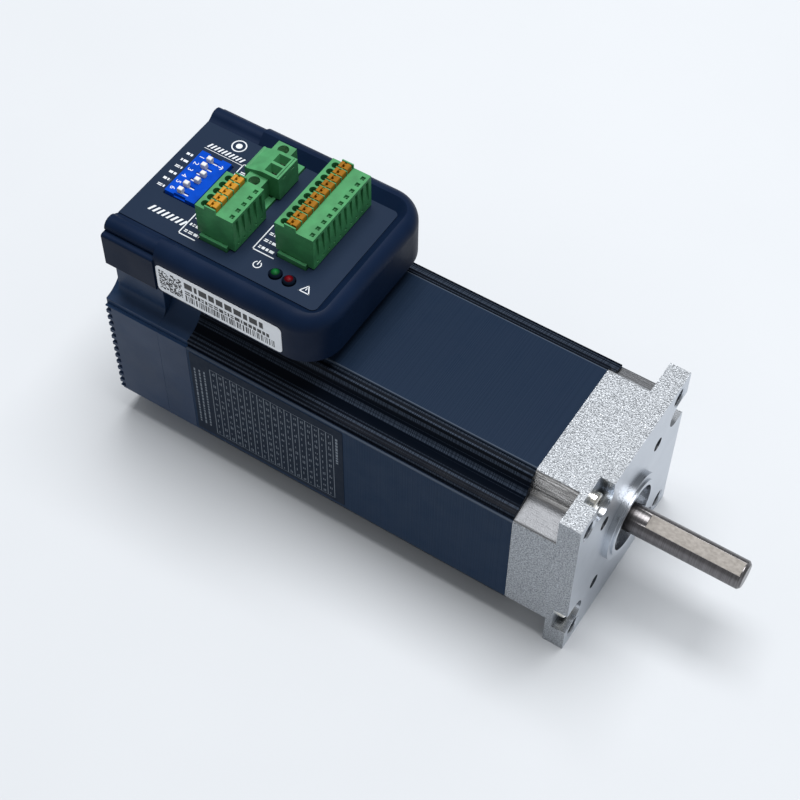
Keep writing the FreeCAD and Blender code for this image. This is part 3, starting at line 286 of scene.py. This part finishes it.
def cast_aluminium():
    """Sparkling as-cast sides, streaked hollow corners, machined front face and bores."""
    s = Surface("cast_aluminium", (0.40, 0.42, 0.45), 0.4, 1.0)
    skin = s.above(s.square("MAXIMUM"), CAP_SKIN)
    front = s.facing("X", 0.8, 0.95)
    cast = s.both(skin, s.inverse(front))
    hollow = s.both(s.inverse(skin), s.below(s.axis("X"), FLANGE_BACK),
                    s.above(s.square("MAXIMUM"), CAP_HOLLOW))
    grit = s.cells(0.34)
    coarse = s.noise(0.42, 2.0, rough=0.7)
    streaks = s.noise(0.45, 3.0, (0.07, 1, 1))
    sparkle = s.mix(s.span(coarse, 0.36, 0.62), (0.22, 0.235, 0.255), (0.52, 0.545, 0.575))
    drawn = s.mix(s.span(streaks, 0.35, 0.65), (0.27, 0.26, 0.25), (0.80, 0.78, 0.76))
    turned = s.mix(s.noise(9.0, 4.0), (0.50, 0.535, 0.585), (0.62, 0.655, 0.705))
    # Painted shade: up-facing hollow floors are given a flat grey, darker than the streaked walls
    # of the same casting.
    floor_of_hollow = s.both(hollow, s.facing("Z", 0.5, 0.8))
    walls = s.mix(floor_of_hollow, drawn, (0.17, 0.175, 0.185))
    # Painted shade: up-facing machined faces are given a darker grey than the turned faces around
    # them.
    machined = s.mix(s.facing("Z", 0.3, 0.8), turned, (0.40, 0.42, 0.45))
    s.colour(s.mix(cast, s.mix(hollow, machined, walls), sparkle))
    satin = s.math("ADD", s.math("ADD", cast, floor_of_hollow), s.math("MULTIPLY", front, 0.5))
    s.roughness(s.span(satin, 0.0, 1.0, 0.24, 0.5))
    s.bump(s.both(grit, cast), 0.14, 0.8)
    s.bump(s.both(coarse, cast), 0.26, 0.9)
    s.bump(s.both(streaks, hollow), 0.10, 0.9)
    s.bump(s.both(coarse, hollow), 0.14, 0.8)
    s.bump(s.both(s.noise(0.3, 3.0), s.inverse(cast)), 0.006, 0.6)
    return s.material


def steel(name, dark, light, roughness, brush=(0.03, 1, 1), grain=0.25):
    s = Surface(name, dark, roughness, 1.0)
    lines = s.noise(grain, 3.0, brush)
    s.colour(s.mix(s.span(lines, 0.3, 0.7), dark, light))
    s.roughness(s.span(lines, 0.3, 0.7, roughness - 0.07, roughness + 0.08))
    s.bump(lines, 0.006, 0.6)
    return s.material


def shaft_steel():
    """Dark turned steel with rings round the axis; the ground flat is pale and warm."""
    s = Surface("shaft_steel", (0.060, 0.056, 0.058), 0.3, 1.0)
    turned = s.noise(0.22, 3.0, (1, 0.02, 0.02))
    ground = s.noise(0.7, 4.0, (0.6, 1, 1))
    tilt = math.radians(SHAFT_FLAT_TILT)
    dot = s.node("ShaderNodeVectorMath", operation="DOT_PRODUCT")
    s.feed(dot.inputs[0], s.place)
    dot.inputs[1].default_value = (0.0, -math.sin(tilt), math.cos(tilt))
    height = dot.outputs["Value"]
    flat = s.both(s.below(height, SHAFT_FLAT + 0.015), s.above(height, SHAFT_FLAT - 0.015),
                  s.above(s.axis("X"), SHAFT_FLAT_START), s.below(s.axis("X"), SHAFT_FLAT_END))
    body = s.mix(s.span(turned, 0.3, 0.7), (0.12, 0.115, 0.118), (0.21, 0.20, 0.205))
    plane = s.mix(s.span(ground, 0.3, 0.7), (0.18, 0.168, 0.156), (0.25, 0.235, 0.22))
    s.colour(s.mix(flat, body, plane))
    s.roughness(s.span(flat, 0.0, 1.0, 0.3, 0.62))
    s.bump(turned, 0.010, 0.6)
    s.bump(s.both(ground, flat), 0.02, 0.7)
    return s.material


def plastic(name, colour, roughness=0.45, spread=0.18, peel=0.01, **sockets):
    """Moulded plastic: slight colour flow, faint texture."""
    s = Surface(name, colour, roughness, **sockets)
    paler = tuple(min(1.0, c * (1 + spread)) for c in colour)
    deeper = tuple(c * (1 - spread) for c in colour)
    s.colour(s.mix(s.span(s.noise(3.5, 3.0), 0.3, 0.7), deeper, paler))
    s.roughness(s.span(s.noise(1.2, 3.0), 0.3, 0.7, roughness - 0.05, roughness + 0.07))
    s.bump(s.noise(0.3, 2.0), peel)
    return s.material


def lens(name, node, colour):
    """Lamp lens: a coloured middle inside a dark collar, found from the lamp's own box."""
    s = Surface(name, colour, 0.3, IOR=1.49, Specular_IOR_Level=0.04)
    low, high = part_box(node)
    middle = (low + high) / 2
    level = s.node("ShaderNodeMapping")
    level.inputs["Scale"].default_value = (1, 1, 0)
    s.feed(level.inputs["Vector"], s.place)
    reach = s.node("ShaderNodeVectorMath", operation="DISTANCE")
    s.feed(reach.inputs[0], level.outputs["Vector"])
    reach.inputs[1].default_value = (middle.x, middle.y, 0.0)
    radius = (high.x - low.x) / 2
    collar = s.span(reach.outputs["Value"], radius * 0.66, radius * 0.74)
    brighter = tuple(min(1.0, c * 3.0 + 0.002) for c in colour)
    glow = s.mix(s.span(reach.outputs["Value"], 0.0, radius * 0.66), brighter, colour)
    s.colour(s.mix(collar, glow, (0.004, 0.008, 0.016)))
    s.bump(s.noise(0.5, 1.0), 0.01)
    return s.material


def paper(name, colour, roughness=0.42, gloss=0.4):
    s = Surface(name, colour, roughness, Specular_IOR_Level=gloss)
    worn = tuple(c * 0.9 for c in colour)
    s.colour(s.mix(s.span(s.noise(7.0, 4.0), 0.35, 0.7), colour, worn))
    s.roughness(s.span(s.noise(2.0, 3.0), 0.3, 0.7, roughness - 0.05, roughness + 0.08))
    s.bump(s.noise(0.4, 2.0), 0.008)
    return s.material


def switch_plastic():
    """Blue switch body; the floors of its slots are painted white."""
    s = Surface("switch_blue", (0.0008, 0.050, 0.40), 0.45, Specular_IOR_Level=0.04)
    low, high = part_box("dip_body")
    off_middle = s.math("ABSOLUTE", s.math("SUBTRACT", s.axis("Y"), (low.y + high.y) / 2))
    slot = s.both(s.facing("Z", 0.8, 0.95), s.below(s.axis("Z"), high.z / MM - SLOT_DEPTH),
                  s.below(off_middle, (high.y - low.y) / 2 / MM - SLOT_MARGIN))
    blue = s.mix(s.span(s.noise(3.5, 3.0), 0.3, 0.7), (0.0007, 0.041, 0.33), (0.0010, 0.059, 0.47))
    s.colour(s.mix(slot, blue, (0.60, 0.62, 0.65)))
    s.roughness(s.span(s.noise(1.2, 3.0), 0.3, 0.7, 0.40, 0.52))
    s.bump(s.noise(0.3, 2.0), 0.01)
    return s.material


def ink(name, colour):
    s = Surface(name, colour, 0.5)
    s.colour(s.mix(s.span(s.noise(0.5, 3.0), 0.3, 0.7), tuple(c * 0.86 for c in colour), colour))
    s.bump(s.noise(0.2, 1.0), 0.004)
    return s.material


def circuit_board():
    s = Surface("circuit_board", (0.012, 0.09, 0.04), 0.35)
    tracks = s.cells(2.2)
    s.colour(s.mix(s.span(tracks, 0.10, 0.14), (0.05, 0.20, 0.09), (0.010, 0.085, 0.04)))
    s.bump(tracks, 0.02, 0.5)
    return s.material


def enamelled_copper():
    s = Surface("enamelled_copper", (0.55, 0.22, 0.08), 0.3, 1.0)
    wire = s.waves(0.7)
    # Painted highlight and shade: each wire turn is painted bright on its crest and dark in the
    # gaps, following the bump.
    s.colour(s.mix(wire, (0.38, 0.13, 0.04), (0.72, 0.33, 0.13)))
    s.bump(wire, 0.15, 0.8)
    return s.material


SURFACES = {
    "cast_aluminium": cast_aluminium(),
    "lamination_navy": lamination_navy(),
    "navy_casting": powder_coat("navy_casting", (0.0035, 0.0100, 0.0290), 0.40, 0.06),
    "bobbin_plastic": plastic("bobbin_plastic", (0.66, 0.63, 0.52)),
    "enamelled_copper": enamelled_copper(),
    "shaft_steel": shaft_steel(),
    "core_steel": steel("core_steel", (0.16, 0.16, 0.17), (0.28, 0.28, 0.29), 0.45,
                        (1, 0.02, 0.02)),
    "magnet_black": steel("magnet_black", (0.03, 0.03, 0.033), (0.07, 0.07, 0.075), 0.5, (1, 1, 1)),
    "bearing_steel": steel("bearing_steel", (0.42, 0.42, 0.43), (0.60, 0.60, 0.61), 0.22),
    "zinc_screw": steel("zinc_screw", (0.62, 0.60, 0.54), (0.86, 0.84, 0.78), 0.16, (1, 1, 1), 0.5),
    "black_screw": steel("black_screw", (0.012, 0.012, 0.013), (0.05, 0.05, 0.052), 0.38,
                         (1, 1, 1)),
    "circuit_board": circuit_board(),
    "lead_insulation": plastic("lead_insulation", (0.35, 0.01, 0.01), 0.5),
    "overlay_film": overlay_film(),
    "thermal_pad_grey": plastic("thermal_pad_grey", (0.25, 0.27, 0.30), 0.8),
    "capacitor_can": steel("capacitor_can", (0.5, 0.5, 0.5), (0.7, 0.7, 0.7), 0.3, (1, 1, 0.05)),
    "chip_epoxy": plastic("chip_epoxy", (0.012, 0.012, 0.012), 0.6),
    "header_green": plastic("header_green", (0.045, 0.210, 0.085), 0.5, Specular_IOR_Level=0.3),
    "plug_green": plastic("plug_green", (0.044, 0.218, 0.080), 0.45, Specular_IOR_Level=0.3),
    "power_plug_green": plastic("power_plug_green", (0.050, 0.222, 0.088), 0.45,
                                Specular_IOR_Level=0.3),
    "tinned_brass": steel("tinned_brass", (0.25, 0.24, 0.20), (0.36, 0.35, 0.30), 0.3, (1, 1, 1)),
    "lever_orange": plastic("lever_orange", (0.40, 0.185, 0.008), 0.42, Specular_IOR_Level=0.25),
    "switch_blue": switch_plastic(),
    "slider_white": plastic("slider_white", (0.62, 0.62, 0.61), 0.35, 0.04),
    "lens_green": lens("lens_green", "led_green", (0.002, 0.040, 0.009)),
    "lens_red": lens("lens_red", "led_red", (0.045, 0.0005, 0.002)),
    "label_white": paper("label_white", (0.86, 0.89, 0.93)),
    "label_dark": paper("label_dark", (0.012, 0.020, 0.036), 0.5, 0.05),
}
NAVY_REAR = powder_coat("navy_rear", (0.0105, 0.0280, 0.0680), 0.34, 0.15)
LEVER_AMBER = plastic("lever_amber", (0.25, 0.105, 0.005), 0.42, Specular_IOR_Level=0.12)
WHITE_INK = ink("white_ink", (0.66, 0.69, 0.72))
BLACK_INK = ink("black_ink", (0.008, 0.009, 0.012))
GREY_INK = ink("grey_ink", (0.15, 0.185, 0.23))


# ---- meshes --------------------------------------------------------------------
def mesh_object(name, bm, material, body):
    """Turns a bmesh in millimetres into a piece that rides on a body."""
    bmesh.ops.scale(bm, vec=(MM, MM, MM), verts=bm.verts)
    bmesh.ops.recalc_face_normals(bm, faces=bm.faces)
    mesh = bpy.data.meshes.new(name)
    bm.to_mesh(mesh)
    bm.free()
    mesh.materials.append(material)
    made = bpy.data.objects.new(name, mesh)
    bpy.context.scene.collection.objects.link(made)
    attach(made, body)
    return made


class Print:
    """Ink on a flat face: thin raised patches and strokes collected in one mesh.

    Marks are given in the face's own two directions, in millimetres."""

    THICK = 0.02

    def __init__(self, along, across, out, level):
        self.bm = bmesh.new()
        self.frame = Matrix((along, across, out)).transposed()
        self.level = level

    def outline(self, points):
        """A flat-topped patch with the given outline."""
        tops, feet = [], []
        for u, v in points:
            feet.append(self.bm.verts.new(self.frame @ Vector((u, v, self.level))))
            tops.append(self.bm.verts.new(self.frame @ Vector((u, v, self.level + self.THICK))))
        self.bm.faces.new(tops)
        count = len(points)
        for k in range(count):
            after = (k + 1) % count
            self.bm.faces.new((feet[k], feet[after], tops[after], tops[k]))

    def patch(self, u0, v0, u1, v1):
        self.outline([(u0, v0), (u1, v0), (u1, v1), (u0, v1)])

    def stroke(self, start, end, width):
        run = Vector(end) - Vector(start)
        side = Vector((-run.y, run.x)).normalized() * width / 2
        lengthen = run.normalized() * width / 2
        a, b = Vector(start) - lengthen, Vector(end) + lengthen
        self.outline([a + side, a - side, b - side, b + side])

    def path(self, points, width):
        for a, b in zip(points, points[1:]):
            self.stroke(a, b, width)

    def arc(self, centre, radius, width, first, last, steps):
        """Ring sector between two angles in degrees."""
        inner, outer = [], []
        for k in range(steps + 1):
            angle = math.radians(first + (last - first) * k / steps)
            turn = Vector((math.cos(angle), math.sin(angle)))
            inner.append(Vector(centre) + turn * (radius - width / 2))
            outer.append(Vector(centre) + turn * (radius + width / 2))
        for k in range(steps):
            self.outline([inner[k], outer[k], outer[k + 1], inner[k + 1]])

    def dashes(self, start, size, length, draw, part=0.62):
        """A row of solid dashes of mixed length in place of lettering, some split in two."""
        u = start[0]
        while u < start[0] + length:
            run = min(size * draw.uniform(0.35, 1.3), start[0] + length - u)
            tall = size * part
            if draw.random() < 0.35:
                self.patch(u, start[1], u + run, start[1] + tall * 0.36)
                self.patch(u, start[1] + tall * 0.64, u + run, start[1] + tall)
            else:
                self.patch(u, start[1], u + run, start[1] + tall)
            u += run + size * 0.26

    def stripes(self, start, size, count):
        """A row of slanted stripes."""
        lean, wide, step = size * 0.45, size * 0.34, size * 0.72
        for k in range(count):
            u = start[0] + k * step
            self.outline([(u, start[1]), (u + wide, start[1]),
                          (u + wide + lean, start[1] + size), (u + lean, start[1] + size)])

    def done(self, name, material, body):
        return mesh_object(name, self.bm, material, body)


def soften(node, width):
    """Rounds a CAD node's sharp edges with modifiers; its mesh stays as it is."""
    item = bpy.data.objects[node]
    weld = item.modifiers.new("weld", "WELD")
    weld.merge_threshold = 0.000002
    flat = item.modifiers.new("flat", "DECIMATE")
    flat.decimate_type = "DISSOLVE"
    flat.angle_limit = math.radians(0.4)
    edge = item.modifiers.new("edge", "BEVEL")
    edge.width = width * MM
    edge.segments = 2
    edge.limit_method = "ANGLE"
    edge.angle_limit = math.radians(35.0)
    edge.use_clamp_overlap = True
    shade = item.modifiers.new("shade", "WEIGHTED_NORMAL")
    shade.keep_sharp = False
    shade.weight = 100


# ---- printed marks -------------------------------------------------------------
FRAME_LINE = 0.3           # width of the brackets beside the plugs
SIGN_LINE = 0.28           # width of the lamp signs' strokes
POLE_PITCH = 2.5
DIP_PITCH = 2.54
CODE_CELL, CODE_CELLS = 0.34, 21
TABLE_COLUMNS, TABLE_ROWS = 18, 11
X, Y, Z = Vector((1, 0, 0)), Vector((0, 1, 0)), Vector((0, 0, 1))


def plug_frame(marks, corner, run_x, run_y, draw):
    """The bracket printed beside a plug, with one row of dashes for each pole."""
    marks.stroke(corner, (corner[0] + run_x, corner[1]), FRAME_LINE)
    marks.stroke(corner, (corner[0], corner[1] + run_y), FRAME_LINE)
    for row in range(int(run_y / POLE_PITCH)):
        marks.dashes((corner[0] + 0.8, corner[1] + 1.1 + POLE_PITCH * row), 1.35, 4.6, draw)


def lamp_signs(marks):
    """A power sign before the green lamp and a warning triangle after the red one."""
    green_low, green_high = box_mm("led_green")
    middle = (green_low.y + green_high.y) / 2
    u, v = green_low.x - 4.0, middle + 0.1
    marks.arc((u, v), 1.05, SIGN_LINE, 120, 420, 18)
    marks.stroke((u, v + 0.1), (u, v + 1.35), SIGN_LINE)
    u, v = box_mm("led_red")[1].x + 3.6, middle
    foot, half, peak = v - 1.0, 1.4, v + 1.35
    marks.path([(u - half, foot), (u + half, foot), (u, peak), (u - half, foot)], SIGN_LINE)
    marks.stroke((u, v - 0.15), (u, v + 0.4), 0.24)


def overlay_print():
    """White marks on the film: plug brackets, switch way marks, badge and lamp signs."""
    draw = random.Random(7)
    marks = Print(X, Y, Z, box_mm("top_overlay")[1].z)
    dip_low, dip_high = box_mm("dip_body")
    comms_low = box_mm("comms_plug")[0]
    signal_low = box_mm("signal_plug")[0]
    power_low = box_mm("power_plug")[0]
    plug_frame(marks, (comms_low.x - 4.6, comms_low.y - 2.3), 5.0, 7.8, draw)
    plug_frame(marks, (signal_low.x - 5.7, signal_low.y - 2.3), 6.3, 9.1, draw)
    corner = (power_low.x - 4.6, power_low.y + 4.0)
    marks.path([(corner[0] + 4.2, corner[1] + 5.8), (corner[0], corner[1] + 5.8), corner],
               FRAME_LINE)
    marks.dashes((corner[0] + 0.9, corner[1] + 2.4), 1.5, 2.6, draw)
    for way in range(6):
        v = dip_high.y - 2.25 - DIP_PITCH * way
        marks.dashes((dip_low.x - 3.5, v - 0.4), 1.25, 2.2, draw)
    marks.stripes((dip_low.x - 0.3, comms_low.y - 0.1), 2.0, 8)
    badge = (dip_low.x + 6.6, dip_high.y + 7.2)
    marks.arc(badge, 1.95, 0.34, 0, 360, 32)
    marks.arc(badge, 0.45, 0.9, 0, 360, 20)
    marks.stripes((dip_low.x - 0.6, dip_high.y + 2.5), 1.6, 10)
    marks.stroke((dip_low.x - 0.8, dip_high.y + 1.9), (dip_low.x + 11.6, dip_high.y + 1.9), 0.16)
    lamp_signs(marks)
    marks.done("overlay_print", WHITE_INK, "root")


def serial_print():
    """Square block of random cells, two rows of dashes and a row of bars."""
    draw = random.Random(21)
    low, high = box_mm("serial_label")
    marks = Print(X, Z, -Y, -low.y)
    block_u, block_v = low.x + 0.9, low.z + 1.3
    for row in range(CODE_CELLS):
        for column in range(CODE_CELLS):
            if draw.random() < 0.5:
                u, v = block_u + column * CODE_CELL, block_v + row * CODE_CELL
                marks.patch(u, v, u + CODE_CELL, v + CODE_CELL)
    start = block_u + CODE_CELLS * CODE_CELL + 0.9
    marks.dashes((start, high.z - 3.6), 2.2, 24.5, draw, 1.0)
    marks.dashes((start, high.z - 5.9), 1.3, 26.0, draw, 1.0)
    u = start
    while u < high.x - 2.2:
        width = draw.choice((0.18, 0.3, 0.45))
        marks.patch(u, low.z + 1.0, u + width, low.z + 3.4)
        u += width + draw.choice((0.2, 0.32, 0.5))
    marks.done("serial_print", BLACK_INK, "root")


def upright_dashes(marks, draw, u, width, foot, head, lengths, gap):
    """A column of dashes of mixed length between two heights."""
    v = foot
    while v < head:
        length = draw.uniform(*lengths)
        marks.patch(u, v, u + width, v + length)
        v += length + gap


def spec_print():
    """Table of bright upright lines with small marks in its cells, and dashes beside it."""
    draw = random.Random(5)
    low, high = box_mm("spec_label")
    marks = Print(X, Z, -Y, -low.y)
    left, right = low.x + 6.5, high.x - 3.0
    bottom, top = low.z + 1.4, high.z - 3.2
    step = (right - left) / TABLE_COLUMNS
    rise = (top - bottom) / TABLE_ROWS
    for k in range(TABLE_COLUMNS + 1):
        marks.patch(left + k * step - 0.1, bottom, left + k * step + 0.1, top)
    for v in (bottom, top):
        marks.patch(left, v - 0.05, right, v + 0.05)
    for column in range(TABLE_COLUMNS):
        for row in range(TABLE_ROWS):
            u = left + column * step + 0.75
            v = bottom + row * rise + 0.6
            marks.patch(u, v, u + 0.22, v + rise * draw.uniform(0.25, 0.55))
            if draw.random() < 0.6:
                marks.patch(u + 0.5, v, u + 0.72, v + rise * draw.uniform(0.2, 0.5))
    for k in range(3):
        upright_dashes(marks, draw, low.x + 1.0 + k * 1.6, 0.5, bottom + 2.0, top - 3.0,
                       (0.6, 1.6), 0.4)
    upright_dashes(marks, draw, high.x - 2.2, 0.7, top - 12.0, top - 1.0, (0.5, 1.3), 0.35)
    marks.done("spec_print", GREY_INK, "root")


def digit_mesh(bm, text, size, place, level, turn):
    """Adds a digit as a flat mesh on a level plane."""
    curve = bpy.data.curves.new("digit", "FONT")
    curve.body = text
    curve.size = size
    curve.align_x = "CENTER"
    curve.align_y = "CENTER"
    curve.extrude = 0.01
    holder = bpy.data.objects.new("digit", curve)
    bpy.context.scene.collection.objects.link(holder)
    mesh = bpy.data.meshes.new_from_object(holder)
    mesh.transform(Matrix.Translation((place[0], place[1], level)) @ Matrix.Rotation(turn, 4, "Z"))
    bm.from_mesh(mesh)
    bpy.data.objects.remove(holder)
    bpy.data.curves.remove(curve)
    bpy.data.meshes.remove(mesh)


def dip_print():
    """Digits 1 to 6 beside the switch ways and an arrow that shows which way is on."""
    low, high = box_mm("dip_body")
    bm = bmesh.new()
    for way in range(1, 7):
        slider_low, slider_high = box_mm("dip_slider_%d" % way)
        y = (slider_low.y + slider_high.y) / 2
        digit_mesh(bm, str(way), 2.1, (low.x + 1.4, y), high.z + 0.01, math.radians(-90))
    mesh_object("dip_digits", bm, WHITE_INK, "root")
    marks = Print(X, Y, Z, high.z)
    u, v = high.x - 1.3, high.y - 2.6
    marks.stroke((u - 1.1, v), (u + 0.2, v), 0.24)
    marks.path([(u - 0.3, v + 0.6), (u + 0.3, v), (u - 0.3, v - 0.6)], 0.24)
    marks.done("dip_arrow", WHITE_INK, "root")


overlay_print()
serial_print()
spec_print()
dip_print()


# ---- CAD nodes -----------------------------------------------------------------
EDGES = {
    "front_flange": 0.25, "rear_bell": 0.3, "rear_housing": 0.35, "drive_housing": 0.3,
    "drive_base": 0.3, "stator_core": 0.22, "signal_plug": 0.12, "comms_plug": 0.12,
    "power_plug": 0.14, "pcb_headers": 0.12, "dip_body": 0.12, "motor_shaft": 0.06,
}
for node, width in EDGES.items():
    soften(node, width)


def surface_of(node, slot):
    """The slot's surface, save for two castings and one row of levers with their own shade."""
    if node in ("rear_housing", "rear_bell"):
        return NAVY_REAR
    if node.startswith("signal_lever"):
        return LEVER_AMBER
    return SURFACES[slot]


for row in frame["record"]["subparts"]:
    mesh = bpy.data.objects[row["node"]].data
    mesh.materials.clear()
    mesh.materials.append(surface_of(row["node"], row["material_slot"]))


# ---- camera, floor, light ------------------------------------------------------
def camera():
    """A long lens high over the near side, looking down along the motor from its shaft end."""
    data = bpy.data.cameras.new("camera")
    data.sensor_width = 36.0
    data.lens = 79.58
    data.clip_start, data.clip_end = 0.01, 10.0
    made = bpy.data.objects.new("camera", data)
    right = Vector((0.84161152, 0.54004344, 0.0065683)).normalized()
    forward = Vector((-0.31391103, 0.49902758, -0.80773222)).normalized()
    upward = right.cross(forward)
    turn = Matrix((right, upward, -forward)).transposed().to_4x4()
    made.matrix_world = Matrix.Translation(Vector((81.3366, -239.0896, 385.1892)) * MM) @ turn
    bpy.context.scene.collection.objects.link(made)
    bpy.context.scene.camera = made


def floor():
    """A pale floor at the height of the motor's underside."""
    s = Surface("floor", (0.60, 0.622, 0.650), 0.8, Specular_IOR_Level=0.2)
    cloud = s.span(s.noise(60.0, 3.0), 0.3, 0.7)
    s.colour(s.mix(cloud, (0.595, 0.617, 0.645), (0.605, 0.627, 0.655)))
    bm = bmesh.new()
    bmesh.ops.create_grid(bm, x_segments=1, y_segments=1, size=1.6)
    mesh = bpy.data.meshes.new("floor")
    bm.to_mesh(mesh)
    bm.free()
    mesh.materials.append(s.material)
    made = bpy.data.objects.new("floor", mesh)
    made.location.z = cad_box[0].z
    bpy.context.scene.collection.objects.link(made)


def room():
    """Bright room light and one wide ceiling light, a little towards the far side."""
    world = bpy.data.worlds.new("room")
    world.use_nodes = True
    background = world.node_tree.nodes["Background"]
    background.inputs["Color"].default_value = (0.95, 0.975, 1.0, 1.0)
    background.inputs["Strength"].default_value = 0.38
    bpy.context.scene.world = world
    data = bpy.data.lights.new("ceiling", "AREA")
    data.shape = "RECTANGLE"
    data.size, data.size_y = 0.70, 0.64
    data.energy = 13.6
    made = bpy.data.objects.new("ceiling", data)
    made.location = (-0.08, 0.165, 1.0)
    aim = Vector((-0.06, 0.0, 0.0)) - made.location
    made.rotation_mode = "QUATERNION"
    made.rotation_quaternion = aim.to_track_quat("-Z", "Y")
    bpy.context.scene.collection.objects.link(made)


camera()
floor()
room()
bpy.context.scene.view_settings.view_transform = "Standard"
